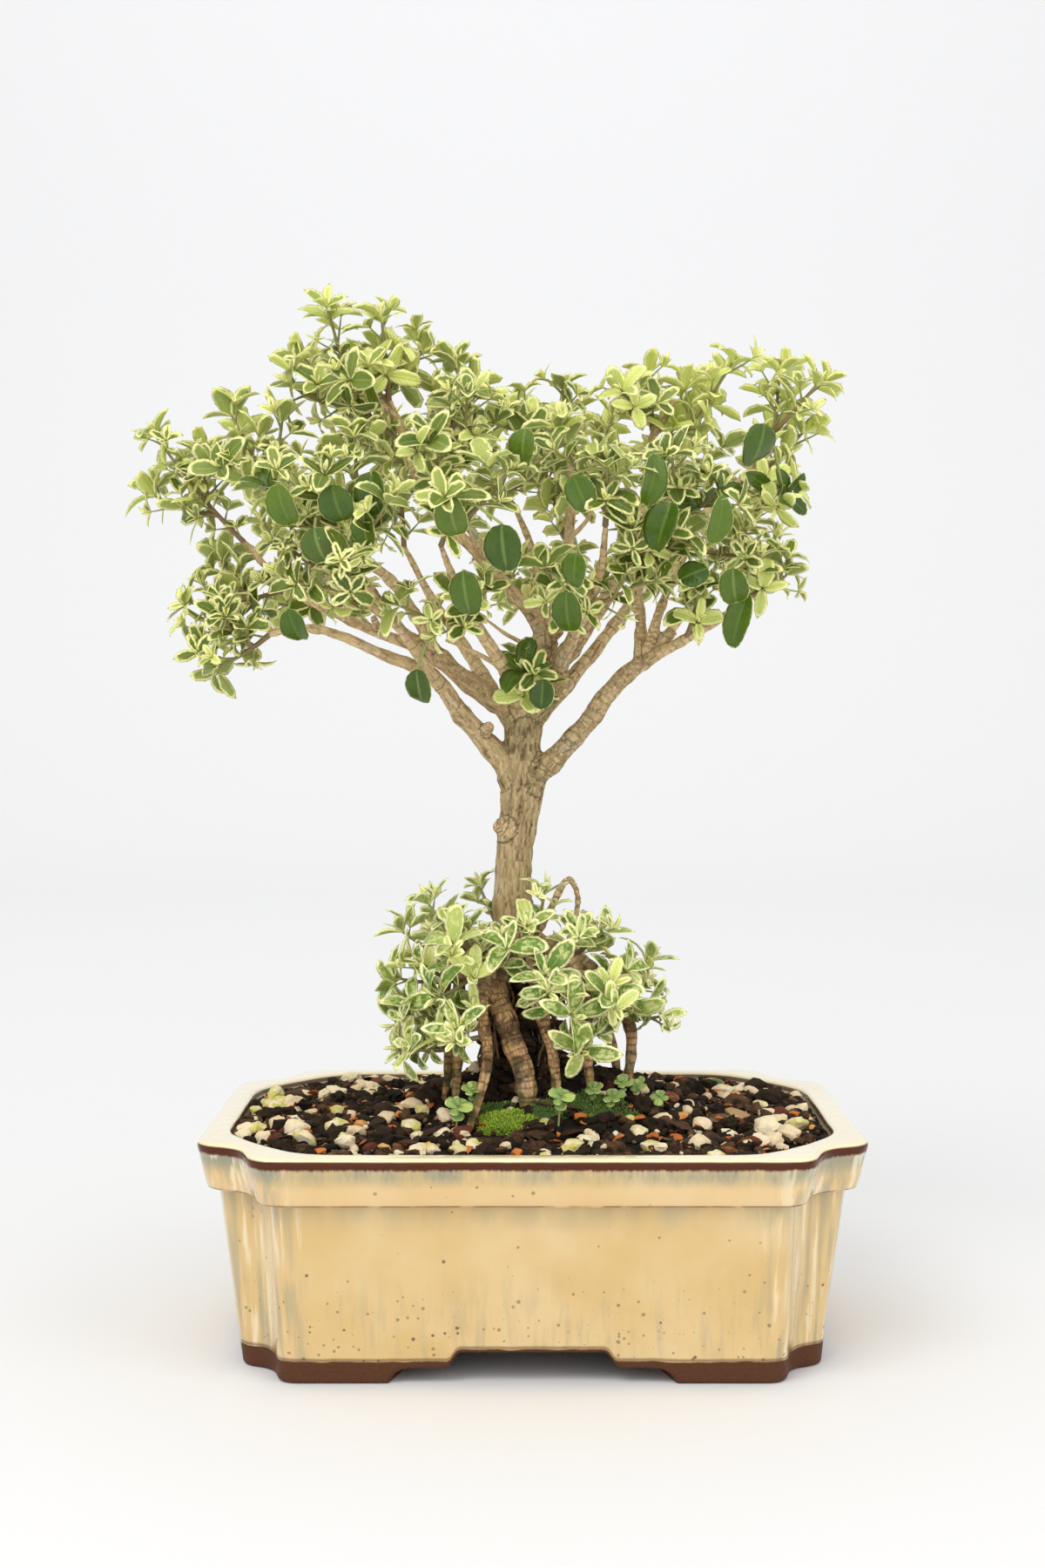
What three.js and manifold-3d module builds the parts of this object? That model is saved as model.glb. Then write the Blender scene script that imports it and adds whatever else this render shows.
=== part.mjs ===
// A variegated serissa grown as a bonsai: a small tree on exposed roots, with leafy suckers round its foot,
// in soil and gravel in a glazed rectangular pot with notched corners. Millimetres, +Z up, the front faces -Y.

import * as THREE from "three";
import { mergeVertices } from "three/addons/utils/BufferGeometryUtils.js";
import Module from "manifold-3d";

const wasm = await Module();
wasm.setup();

// Driving dimensions of the pot. Levels are heights in the frame that the plant's own points use.
const RIM_HALF_X = 103;
const RIM_HALF_Y = 76;
const RIM_LEVEL = 69;
const FOOT_LEVEL = -2;
const BAND_HEIGHT = 15;
const BAND_STEP = 3.2;
const FOOT_HALF_X = 90;
const FOOT_HALF_Y = 63;
const CUT_TOP = [20, 24];
const CUT_FOOT = [14, 18];
const CUT_INSIDE = [27, 32];
const CUT_HOLLOW = 0.5;
const RIM_WIDTH = 7;
const FLOOR_UNDERSIDE = 8;
const FLOOR_TOP = 13;
const DRAIN_RADIUS = 8;
const DRAIN_X = 45;
const SCREEN_HALF = 13;

// Driving dimensions of the soil, its mound and what lies on it
const SOIL_EDGE = 66.5;
const MOUND = { x: 6, y: 3, spreadX: 42, spreadY: 31, height: 17 };
const ROOT_BALL = { x: -4, y: 1, spread: 13, height: 9 };
const STONE_COUNT = 26;
const STONE_RADIUS = [2.6, 4.6];
const STONE_SEED = 71;
// A stone keeps out of the corners: its place in cuts along x and y adds up to less than this
const STONE_CORNER = 4.27;

// Clearance between pieces that touch, and the leaf's own thickness
const GAP = 0.3;
const GRIDS = [0.02, 0.012, 0.007, 0.004, 0.031, 0.047, 0.06];
const KEEL = 0.8;
const CANOPY_LEAF_LENGTH = 11;
// How far leaves turn up to the light, as a share of their own way
const LIFT = 0.4;

const UP = new THREE.Vector3(0, 0, 1);
const vector = ([x, y, z]) => new THREE.Vector3(x, y, z);

/** A seeded source of numbers, so that every run gives the same plant. */
function randomFrom(seed) {
  let state = seed >>> 0;
  return (low = 0, high = 1) => {
    state = (Math.imul(state, 1664525) + 1013904223) >>> 0;
    return low + ((high - low) * state) / 4294967296;
  };
}

// Solids

/** The closed solid inside a geometry. */
function solidOf(geometry) {
  const bare = geometry.index ? geometry.toNonIndexed() : geometry.clone();
  bare.deleteAttribute("normal");
  bare.deleteAttribute("uv");
  const merged = mergeVertices(bare, 1e-4);
  return new wasm.Manifold(
    new wasm.Mesh({
      numProp: 3,
      vertProperties: new Float32Array(merged.attributes.position.array),
      triVerts: new Uint32Array(merged.index.array),
    }),
  );
}

/** A three.js geometry of a solid. */
function geometryOf(solid) {
  const mesh = solid.getMesh();
  return new THREE.BufferGeometry()
    .setAttribute("position", new THREE.BufferAttribute(mesh.vertProperties, 3))
    .setIndex(new THREE.BufferAttribute(mesh.triVerts, 1))
    .toNonIndexed();
}

/** The corners of a geometry's triangles, set on a grid, without the triangles that this closes or folds flat. */
function snapped(geometry, grid) {
  const places = geometry.attributes.position.array.map((place) => grid * Math.round(place / grid));
  const kept = new Map();
  for (let i = 0; i < places.length; i += 9) {
    const corners = [0, 3, 6].map((k) => Array.from(places.subarray(i + k, i + k + 3)));
    const key = corners.map(String).sort().join();
    if (kept.has(key)) kept.delete(key);
    else if (new Set(corners.map(String)).size === 3) kept.set(key, corners);
  }
  return [...kept.values()].flat();
}

/** True if no edge joins more than two triangles. */
function isSimple(corners) {
  const uses = new Map();
  for (let i = 0; i < corners.length; i += 3) {
    for (const [a, b] of [[0, 1], [1, 2], [2, 0]]) {
      const edge = [String(corners[i + a]), String(corners[i + b])].sort().join();
      uses.set(edge, (uses.get(edge) ?? 0) + 1);
    }
  }
  return [...uses.values()].every((count) => count === 2);
}

/** The largest body of a solid, its points set on a fine grid, which closes the slivers that cuts and joins leave. */
function tidied(solid) {
  const geometry = geometryOf(largestOf(solid));
  const corners = GRIDS.map((grid) => snapped(geometry, grid)).find(isSimple);
  return largestOf(
    solidOf(new THREE.BufferGeometry().setAttribute("position", new THREE.Float32BufferAttribute(corners.flat(), 3))),
  );
}

/** Points and triangles gathered into one closed solid. A ring is a list of its points' numbers. */
class Skin {
  points = [];
  faces = [];

  ring(points) {
    const first = this.points.length;
    this.points.push(...points);
    return points.map((_, i) => first + i);
  }

  /** Joins a ring to the next one, or to a tip. Both start alike and run anticlockwise about the way between them. */
  band(low, high) {
    const [n, m] = [low, high].map((ring) => (ring.length === 1 ? 0 : ring.length));
    let [i, j] = [0, 0];
    while (i < n || j < m) {
      const [a, b] = [low[i % low.length], high[j % high.length]];
      if (i < n && (j >= m || (i + 1) * m <= (j + 1) * n)) this.faces.push([a, low[++i % n], b]);
      else this.faces.push([a, high[++j % m], b]);
    }
  }

  /** Closes a ring with faces that look the way of travel, or back from it. */
  cap(ring, backwards) {
    if (ring.length === 1) return;
    const points = ring.map((i) => this.points[i]);
    const level = points.every((p) => Math.abs(p.z - points[0].z) < 1e-6);
    const faces = level
      ? THREE.ShapeUtils.triangulateShape(points.map((p) => new THREE.Vector2(p.x, p.y)), [])
      : ring.slice(2).map((_, i) => [0, i + 1, i + 2]);
    this.faces.push(...faces.map(([a, b, c]) => (backwards ? [a, c, b] : [a, b, c]).map((i) => ring[i])));
  }

  solid() {
    const positions = this.points.flatMap((p) => p.toArray());
    return solidOf(
      new THREE.BufferGeometry()
        .setAttribute("position", new THREE.Float32BufferAttribute(positions, 3))
        .setIndex(this.faces.flat()),
    );
  }
}

/** The solid through rings of points that run anticlockwise about the way of travel. A ring of one point is a tip. */
function loft(rings) {
  const skin = new Skin();
  const numbered = rings.map((points) => skin.ring(points));
  skin.cap(numbered[0], true);
  for (let i = 0; i + 1 < numbered.length; i++) skin.band(numbered[i], numbered[i + 1]);
  skin.cap(numbered[numbered.length - 1], false);
  return skin.solid();
}

/** A block between two corners. */
function block(low, high) {
  const [a, b] = [vector(low), vector(high)];
  const size = b.clone().sub(a);
  const centre = a.clone().add(b).multiplyScalar(0.5);
  return solidOf(new THREE.BoxGeometry(size.x, size.y, size.z).translate(...centre.toArray()));
}

/** The largest of the bodies that a cut leaves. */
function largestOf(solid) {
  return solid.decompose().reduce((best, body) => (body.volume() > best.volume() ? body : best));
}

// The pot

/** A polygon's corners, each rounded by a curve of three points that starts a radius before the corner. */
function rounded(corners, radius) {
  return corners.flatMap((corner, i) => {
    const before = corners[(i + corners.length - 1) % corners.length];
    const after = corners[(i + 1) % corners.length];
    const start = corner.clone().add(before.clone().sub(corner).setLength(radius));
    const end = corner.clone().add(after.clone().sub(corner).setLength(radius));
    return new THREE.QuadraticBezierCurve3(start, corner, end).getPoints(2);
  });
}

/**
 * A level outline of the pot, anticlockwise from above: a rectangle whose corners are cut off, with each cut bent in
 * by a share of its size. A share below nothing bends it out.
 */
function notchedRing(halfX, halfY, [cutX, cutY], hollow, radius, z) {
  const [x, y] = [halfX - cutX, halfY - cutY];
  const [bendX, bendY] = [halfX - (cutX * (1 + hollow)) / 2, halfY - (cutY * (1 + hollow)) / 2];
  const corners = [
    [halfX, -y], [halfX, y], [bendX, bendY], [x, halfY], [-x, halfY], [-bendX, bendY],
    [-halfX, y], [-halfX, -y], [-bendX, -bendY], [-x, -halfY], [x, -halfY], [bendX, -bendY],
  ].map(([cx, cy]) => new THREE.Vector3(cx, cy, z));
  return rounded(corners, radius);
}

/** The arch cut under a side: low shoulders by the feet and a higher middle, as a shape that is drawn upwards. */
function archShape(halfWidth) {
  const shape = new THREE.Shape();
  const [low, high] = [4.6, 9.4];
  shape.moveTo(-halfWidth, -1);
  shape.lineTo(-halfWidth, 0);
  shape.quadraticCurveTo(-halfWidth + 1, low - 0.4, -halfWidth + 7, low);
  shape.lineTo(-halfWidth + 17, low + 0.5);
  shape.quadraticCurveTo(-halfWidth + 20, low + 0.8, -halfWidth + 22, high);
  shape.lineTo(halfWidth - 22, high);
  shape.quadraticCurveTo(halfWidth - 20, low + 0.8, halfWidth - 17, low + 0.5);
  shape.lineTo(halfWidth - 7, low);
  shape.quadraticCurveTo(halfWidth - 1, low - 0.4, halfWidth, 0);
  shape.lineTo(halfWidth, -1);
  return shape;
}

/** The inside of the pot as an outline at a height, drawn in by an offset. Its corners are cut off and bulge a little. */
function innerRing(z, offset = 0) {
  const rise = (z - FLOOR_TOP) / (RIM_LEVEL - FLOOR_TOP);
  const halfX = THREE.MathUtils.lerp(FOOT_HALF_X - 9, RIM_HALF_X - RIM_WIDTH - 1.5, rise) - offset;
  const halfY = THREE.MathUtils.lerp(FOOT_HALF_Y - 9, RIM_HALF_Y - RIM_WIDTH, rise) - offset;
  return notchedRing(halfX, halfY, CUT_INSIDE, -0.1, 9, z);
}

function pot() {
  const bandBase = RIM_LEVEL - BAND_HEIGHT;
  const bodyTop = bandBase - 0.8;
  const shell = loft([
    notchedRing(FOOT_HALF_X - 1, FOOT_HALF_Y - 1, CUT_FOOT, CUT_HOLLOW, 5, FOOT_LEVEL),
    notchedRing(FOOT_HALF_X, FOOT_HALF_Y, CUT_FOOT, CUT_HOLLOW, 5, FOOT_LEVEL + 1.4),
    notchedRing(RIM_HALF_X - 3 - BAND_STEP, RIM_HALF_Y - 3 - BAND_STEP, CUT_TOP, CUT_HOLLOW, 6.5, bodyTop),
    notchedRing(RIM_HALF_X - 2.6, RIM_HALF_Y - 2.6, CUT_TOP, CUT_HOLLOW, 7, bandBase),
    notchedRing(RIM_HALF_X, RIM_HALF_Y, CUT_TOP, CUT_HOLLOW, 7, RIM_LEVEL - 1.6),
    notchedRing(RIM_HALF_X - 1.4, RIM_HALF_Y - 1.4, CUT_TOP, CUT_HOLLOW, 7, RIM_LEVEL),
    innerRing(RIM_LEVEL, -0.8),
    innerRing(RIM_LEVEL - 1.8),
    innerRing(FLOOR_TOP),
  ]);
  const under = rounded(
    [[1, -1], [1, 1], [-1, 1], [-1, -1]].map(([x, y]) => new THREE.Vector3(72 * x, 46 * y, FOOT_LEVEL - 1)),
    8,
  );
  const recess = loft([under, under.map((p) => p.clone().setZ(FLOOR_UNDERSIDE))]);
  const depth = 4 * RIM_HALF_X;
  const settings = { depth, bevelEnabled: false, curveSegments: 3 };
  const frontArch = solidOf(
    new THREE.ExtrudeGeometry(archShape(44), settings).rotateX(Math.PI / 2).translate(0, depth / 2, FOOT_LEVEL),
  );
  const sideArch = solidOf(
    new THREE.ExtrudeGeometry(archShape(29), settings)
      .rotateX(Math.PI / 2)
      .rotateZ(Math.PI / 2)
      .translate(-depth / 2, 0, FOOT_LEVEL),
  );
  const drains = [-DRAIN_X, DRAIN_X].map((x) =>
    solidOf(
      new THREE.CylinderGeometry(DRAIN_RADIUS, DRAIN_RADIUS, 12, 12)
        .rotateX(Math.PI / 2)
        .translate(x, 0, FLOOR_TOP - 3),
    ),
  );
  return [recess, frontArch, sideArch, ...drains].reduce((body, cut) => body.subtract(cut), shell);
}

/** A square of coarse plastic mesh that keeps the soil from running out of a drain hole. */
function drainScreen(x) {
  const [bar, pitch] = [2.4, 11.8];
  const base = FLOOR_TOP + GAP;
  const plate = block([x - SCREEN_HALF, -SCREEN_HALF, base], [x + SCREEN_HALF, SCREEN_HALF, base + 1.2]);
  const cell = (pitch - bar) / 2;
  return [[-0.5, -0.5], [0.5, -0.5], [-0.5, 0.5], [0.5, 0.5]].reduce((body, [i, j]) => {
    const [cx, cy] = [x + i * pitch, j * pitch];
    return body.subtract(block([cx - cell, cy - cell, base - 1], [cx + cell, cy + cell, base + 3]));
  }, plate);
}

// The soil

/** Height of the soil's surface: level by the walls, mounded under the tree, highest inside the roots. */
function soilHeight(x, y) {
  const far = ((x - MOUND.x) / MOUND.spreadX) ** 2 + ((y - MOUND.y) / MOUND.spreadY) ** 2;
  const near = ((x - ROOT_BALL.x) ** 2 + (y - ROOT_BALL.y) ** 2) / ROOT_BALL.spread ** 2;
  const ripple = 0.7 * Math.sin(x * 0.21 + 1) * Math.cos(y * 0.26);
  return SOIL_EDGE + MOUND.height * Math.exp(-far) + ROOT_BALL.height * Math.exp(-near) + ripple;
}

/** The larger stones of the gravel, each an angular solid sunk by half into the soil. */
function stones() {
  const random = randomFrom(STONE_SEED);
  const made = [];
  while (made.length < STONE_COUNT) {
    const [x, y] = [random(-86, 86), random(-60, 60)];
    const radius = random(...STONE_RADIUS);
    const [turn, tip] = [random(0, Math.PI), random(-0.4, 0.4)];
    const stretch = random(1, 1.5);
    const nearRoots = Math.hypot((x + 2) / 36, y / 38) < 1;
    const inCorner = Math.abs(x) / CUT_INSIDE[0] + Math.abs(y) / CUT_INSIDE[1] > STONE_CORNER;
    if (nearRoots || inCorner) continue;
    const shape = new THREE.OctahedronGeometry(radius)
      .scale(stretch, 1, 0.8)
      .rotateX(tip)
      .rotateY(tip)
      .rotateZ(turn)
      .translate(x, y, soilHeight(x, y) + 0.15 * radius);
    made.push(solidOf(shape));
  }
  return made;
}

function soil() {
  const foot = innerRing(FLOOR_TOP + GAP, GAP + 0.1);
  const rim = innerRing(SOIL_EDGE, GAP + 0.1);
  const ring = (halfX, halfY, count, inward) =>
    Array.from({ length: count }, (_, i) => {
      const angle = (2 * Math.PI * i) / count - 0.4;
      const x = inward * MOUND.x + halfX * Math.cos(angle);
      const y = inward * MOUND.y + halfY * Math.sin(angle);
      return new THREE.Vector3(x, y, soilHeight(x, y));
    });
  const surface = [
    ring(78, 58, 18, 0),
    ring(56, 44, 18, 0.5),
    ring(40, 31, 12, 0.8),
    ring(26, 21, 12, 0.5),
    ring(12, 11, 8, 0),
  ];
  const bed = loft([foot, rim, ...surface, [new THREE.Vector3(ROOT_BALL.x, ROOT_BALL.y, soilHeight(ROOT_BALL.x, ROOT_BALL.y))]]);
  const wall = loft([foot, innerRing(RIM_LEVEL + 30, GAP + 0.1)]);
  return wasm.Manifold.union([bed, ...stones().map((stone) => stone.intersect(wall))]);
}

// The wood: [x, y, z, radius] along each limb

const TRUNK = [
  [-3, 2, 76, 9], [-4, 1, 104, 8.6], [-5, 0, 120, 8.4], [-5.8, 0, 133, 6.8], [-6, 0, 146, 6], [-5, 0, 160, 6.1],
  [-3.4, 0, 172, 6.8], [-3.2, 0, 181, 7], [-3, 0, 189, 5.9], [-2.2, 0, 199, 6.1], [-0.8, 0, 206, 4.6],
];

const LIMBS = {
  left_low: [
    [-5, 0, 173, 4.2], [-9, -1, 182, 3.7], [-16, -3, 191.5, 3.4], [-23, -6, 199, 3.1], [-32, -10, 211, 2.6],
    [-47, -15, 217.7, 1.9], [-69, -18, 226, 1.5], [-84, -17, 224.5, 1.1],
  ],
  left_up: [
    [-3, 0, 193, 4.2], [-8.2, 0, 200, 3.7], [-16, 0, 205.6, 3.4], [-24, 1, 212, 3.2], [-32, 3, 219, 3],
    [-42, 4, 224, 2.4],
  ],
  left_up_out: [[-34, 3, 219.5, 2.3], [-50, 6, 225.4, 1.9], [-64, 8, 231.5, 1.6], [-81, 6, 241, 1.4], [-95, 3, 256, 1.1]],
  left_up_rise: [
    [-30, 3, 216, 2.4], [-36.7, 0, 229, 2.1], [-45.5, -8, 242, 1.8], [-60, -16, 251.6, 1.5], [-76, -22, 262, 1.1],
  ],
  centre: [
    [-1, 0, 198, 4.6], [2.3, 0, 207.3, 4.4], [4.6, 2, 214.4, 3.8], [5, 4, 223, 3.2], [9.2, 8, 236, 2.6],
    [12, 8, 253.5, 2.1], [13, 4, 270.8, 1.6], [12, 0, 284, 1.1],
  ],
  centre_left: [
    [4.6, 2, 218, 2.8], [1, 0, 229.7, 2.6], [-10.7, -8, 243, 2.1], [-17.7, -10, 254.8, 1.8], [-24, -8, 268, 1.4],
    [-27.3, -3, 286, 1],
  ],
  top_left: [[-10.7, -8, 242, 1.9], [-22, 0, 255.6, 1.9], [-34, 6, 268, 1.7], [-42, 6, 289, 1.4], [-47, 2, 303, 1]],
  right_up: [
    [-1, 0, 199, 4.8], [6.8, -2, 208.4, 4.3], [9.6, -4, 216, 3.6], [15.2, -6, 223.3, 2.9], [25.2, -10, 238, 2.3],
    [33, -13, 250, 2],
  ],
  right_up_a: [[32.5, -12.5, 248, 1.8], [35.5, -12, 266, 1.5], [37, -8, 277.5, 1.2], [39.5, -4, 292, 0.9]],
  right_up_b: [[31.5, -12, 247, 1.8], [45.8, -16, 255, 1.6], [62.5, -10, 270, 1.3], [78.5, -2, 285, 1]],
  right_low: [
    [-3, 0, 172, 4.2], [3, -3, 180.4, 3.7], [10.4, -5, 187.8, 3.4], [18, -6, 196.2, 3.2], [25.3, -7, 206.4, 3],
    [32, -8, 213, 2.9], [38, -8, 217, 2.2],
  ],
  right_low_a: [[34.5, -8, 213.5, 2.2], [35, -6, 221.3, 2], [35.4, -2, 231, 1.8], [34.3, 6, 243, 1.5], [33, 14, 256, 1.1]],
  right_low_b: [[36.5, -8, 215, 2], [39.2, -10, 226, 1.7], [43, -8, 237, 1.4], [52, 0, 254, 1]],
  right_low_c: [[35, -8, 215, 2], [49, -15, 223, 1.7], [62.6, -18, 231, 1.3], [70, -16, 237, 1]],
  right_low_stub: [[35, -8, 214, 2.4], [45.5, -10, 226, 1.9]],
  front_left: [[-29, -8.5, 207, 2.2], [-40, -26, 224, 1.8], [-50, -40, 238, 1.4], [-57, -48, 248, 1]],
  front_centre: [[-2, 0, 196, 3.2], [-8, -14, 212, 2.6], [-17, -30, 226, 1.9], [-24, -44, 240, 1.4], [-28, -52, 251, 1]],
  front_right: [[8, -3, 212, 2.6], [15, -20, 228, 2.1], [21, -38, 243, 1.5], [22, -50, 257, 1]],
  back_left: [[-3, 0, 190, 3.6], [-11, 14, 203, 3], [-21, 30, 219, 2.2], [-34, 44, 238, 1.6], [-45, 53, 258, 1]],
  back_left_out: [[-23, 0.8, 211, 2.4], [-37, 18, 222, 2], [-54, 30, 235, 1.5], [-71, 38, 247, 1]],
  back_centre: [[-2, 0, 200, 3.4], [1, 16, 214, 2.8], [3, 33, 232, 2.1], [1, 47, 254, 1.5], [-6, 54, 272, 1]],
  back_right: [[-1, 0, 195, 3.4], [11, 13, 208, 2.8], [26, 29, 226, 2.1], [40, 41, 246, 1.5], [48, 46, 263, 1]],
  back_right_out: [[24, -6.5, 204, 2.4], [37, 8, 217, 2], [51, 22, 232, 1.5], [62, 30, 248, 1]],
};

const ROOTS = {
  front: [[-5, 0, 124, 4.4], [-12, -13, 112, 3.9], [-7, -20, 97, 3.5], [-2, -24, 83, 3.3], [-1, -26, 70, 2.4]],
  front_left: [[-6, -2, 126, 3], [-15, -17, 114, 2.4], [-16, -24, 104, 2.1], [-14, -28, 91, 1.9], [-20, -36, 68, 1.3]],
  left_front: [[-6, 0, 126, 3], [-21, -9, 119, 2.4], [-24, -13, 100, 1.8], [-24, -17, 84, 1.6], [-25, -19, 70, 1.1]],
  left: [[-6, 0, 127, 3.4], [-25, -1, 121, 2.6], [-29, -3, 104, 1.9], [-27, -6, 86, 1.7], [-29, -8, 70, 1.1]],
  left_back: [[-6, 1, 126, 3.2], [-20, 13, 119, 2.5], [-25, 18, 102, 2], [-24, 22, 86, 1.8], [-27, 25, 69, 1.2]],
  back: [[-5, 1, 126, 3.4], [-8, 17, 117, 2.9], [-6, 26, 100, 2.4], [-9, 31, 86, 2.2], [-8, 34, 68, 1.5]],
  back_right: [[-4, 1, 126, 3.2], [9, 15, 117, 2.6], [15, 23, 101, 2.1], [15, 27, 86, 1.9], [19, 31, 68, 1.3]],
  right: [[-4, 0, 126, 3.4], [15, -2, 119, 2.7], [27, -3, 107, 2.2], [32.5, -4, 95, 2], [31, -5, 76, 1.4]],
  right_front: [[-4, -1, 126, 3.2], [10, -9, 121, 2.7], [17, -14, 110, 2.3], [17.3, -16, 95, 2.1], [19, -18, 76, 1.4]],
  front_right: [[-4, -1, 125, 2.8], [1, -12, 113, 2.4], [4, -19, 100, 2], [7, -22, 88, 1.8], [8, -25, 72, 1.2]],
  right_back: [[-4, 0, 126, 3], [14, 8, 117, 2.4], [23, 13, 101, 2], [27, 15, 88, 1.8], [30, 18, 72, 1.2]],
  loop: [[1, -1, 126, 1.7], [6, -2, 135, 1.4], [12, -2, 145, 1.2], [15, 0, 140, 1.1], [14.5, 2, 131, 1]],
};

/** A limb that tapers through its points, made stouter by an allowance and knobbly by a share of its radius. */
function limb(points, sides, { allowance = 0, knobs = 0.08, seed = 1 } = {}) {
  const random = randomFrom(seed);
  const curve = new THREE.CatmullRomCurve3(points.map(vector), false, "centripetal");
  const steps = points.length - 1;
  const { normals, binormals } = curve.computeFrenetFrames(steps, false);
  const rings = points.map(([, , , radius], i) => {
    const beyond = allowance * (Number(i === steps) - Number(i === 0));
    const centre = curve.getPoint(i / steps).addScaledVector(curve.getTangent(i / steps), beyond);
    return Array.from({ length: sides }, (_, j) => {
      const angle = (2 * Math.PI * j) / sides;
      const reach = radius * (1 + random(-knobs, knobs)) + allowance;
      return centre
        .clone()
        .addScaledVector(normals[i], reach * Math.cos(angle))
        .addScaledVector(binormals[i], reach * Math.sin(angle));
    });
  });
  return loft(rings);
}

/** Trunk, branches and roots as one piece, or the room that they need when an allowance is given. */
function wood(allowance = 0) {
  const branches = Object.values(LIMBS).map((points, i) =>
    limb(points, points[0][3] > 3 ? 5 : 4, { allowance, seed: 100 + i }),
  );
  const roots = Object.values(ROOTS).map((points, i) => limb(points, 4, { allowance, seed: 200 + i }));
  return wasm.Manifold.union([limb(TRUNK, 8, { allowance, seed: 99 }), ...branches, ...roots]);
}

// Leafy growth. A leaf is { base, outward, dir, normal, length, width, curl }: it grows outward from its stem along
// dir, faces normal and arches away from it by curl, in radians over its whole length.

/** The place of a leaf's midrib at a share of its length, and the normal of the blade there. */
function midrib(leaf, share) {
  const bend = leaf.curl * share;
  const reach = leaf.length / leaf.curl;
  return {
    centre: leaf.base
      .clone()
      .addScaledVector(leaf.dir, reach * Math.sin(bend))
      .addScaledVector(leaf.normal, -reach * (1 - Math.cos(bend))),
    normal: leaf.normal.clone().multiplyScalar(Math.cos(bend)).addScaledVector(leaf.dir, Math.sin(bend)),
  };
}

/** A blade's cross-section: the keel under its midrib, and its two margins. */
function bladeRing(leaf, share, fullness = 1) {
  const { centre, normal } = midrib(leaf, share);
  const side = leaf.dir.clone().cross(leaf.normal).multiplyScalar(0.5 * fullness * leaf.width);
  return [centre.clone().addScaledVector(normal, -KEEL), centre.clone().sub(side), centre.clone().add(side)];
}

/** Raises a blade from a ring: a plain pointed one, or a large one whose margins bulge before the point. */
function raiseBlade(skin, root, leaf, large) {
  const ring = skin.ring(bladeRing(leaf, large ? 0.36 : 0.42, large ? 0.96 : 1));
  const tip = skin.ring([midrib(leaf, 1).centre]);
  skin.band(root, ring);
  if (!large) {
    skin.band(ring, tip);
    return;
  }
  const [keel, left, right] = ring;
  const [farLeft, farRight] = skin.ring(bladeRing(leaf, 0.72, 0.8).slice(1));
  const [end] = tip;
  skin.faces.push([keel, left, farLeft], [keel, farLeft, end], [keel, end, farRight], [right, keel, farRight]);
  skin.faces.push([left, right, farRight], [left, farRight, farLeft], [farLeft, farRight, end]);
}

/** The part of a leaf that stands clear of its stem. */
function freeBlade(leaf, large) {
  const skin = new Skin();
  const root = skin.ring(bladeRing(leaf, 0.14, 0.3));
  skin.cap(root, true);
  raiseBlade(skin, root, leaf, large);
  return skin.solid();
}

/** The four corners of a square stem, anticlockwise about its way, with a side that looks along across. */
function stemRing({ centre, way, across }, radius) {
  const beside = way.clone().cross(across);
  return [1, 3, 5, 7].map((eighth) => {
    const angle = (eighth * Math.PI) / 4;
    return centre
      .clone()
      .addScaledVector(across, radius * Math.cos(angle))
      .addScaledVector(beside, radius * Math.sin(angle));
  });
}

/** A stem through its stations, with blades raised from its sides where a station carries leaves. */
function leafyStem(stations, tip, large) {
  const skin = new Skin();
  let below = null;
  const climb = (points) => {
    const numbers = skin.ring(points);
    if (below) skin.band(below, numbers);
    else skin.cap(numbers, true);
    below = numbers;
  };
  for (const station of stations) {
    const corners = stemRing(station, station.radius);
    const from = below ? skin.points[below[0]] : corners[0];
    const near = corners.map((corner) => corner.distanceTo(from));
    const shift = near.indexOf(Math.min(...near));
    const turned = corners.map((_, i) => corners[(i + shift) % 4]);
    if (!station.leaves) {
      climb(turned);
      continue;
    }
    const half = station.way.clone().multiplyScalar(0.8);
    climb(turned.map((corner) => corner.clone().sub(half)));
    const [low, high] = [below, skin.ring(turned.map((corner) => corner.clone().add(half)))];
    low.forEach((_, side) => {
      const next = (side + 1) % 4;
      const face = [low[side], low[next], high[next], high[side]];
      const middle = skin.points[face[0]].clone().add(skin.points[face[2]]).multiplyScalar(0.5).sub(station.centre);
      const leaf = station.leaves.find(({ outward }) => outward.dot(middle) > 0.6 * middle.length());
      if (leaf) raiseBlade(skin, face, leaf, large);
      else skin.faces.push([face[0], face[1], face[2]], [face[0], face[2], face[3]]);
    });
    below = high;
  }
  skin.band(below, skin.ring([tip]));
  return skin.solid();
}

/** One large leaf on its stalk, from a point inside the stem that carries it. */
function stalkedLeaf(leaf, from) {
  const toBase = leaf.base.clone().sub(from).normalize();
  const side = leaf.dir.clone().cross(leaf.normal);
  const lift = side.clone().cross(toBase).normalize();
  const skin = new Skin();
  const [low, high] = [from, leaf.base].map((point) =>
    skin.ring([
      point.clone().addScaledVector(lift, -0.8),
      point.clone().addScaledVector(side, -0.55),
      point.clone().addScaledVector(side, 0.55),
    ]),
  );
  skin.cap(low, true);
  skin.band(low, high);
  raiseBlade(skin, high, leaf, true);
  return skin.solid();
}

/** A point of the curve that starts at a, is drawn towards b and ends at c. */
function curvePoint([a, b, c], t) {
  return a
    .clone()
    .multiplyScalar((1 - t) ** 2)
    .addScaledVector(b, 2 * t * (1 - t))
    .addScaledVector(c, t * t);
}

/** The way that the same curve runs at a share of it. */
function curveWay([a, b, c], t) {
  return b.clone().sub(a).multiplyScalar(1 - t).addScaledVector(c.clone().sub(b), t).normalize();
}

/** A level direction square to a way, turned about it by an angle. */
function squareTo(way, turn) {
  const level = way.clone().cross(Math.abs(way.z) > 0.97 ? new THREE.Vector3(0, 1, 0) : UP).normalize();
  return level.clone().multiplyScalar(Math.cos(turn)).addScaledVector(level.cross(way), Math.sin(turn));
}

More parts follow.
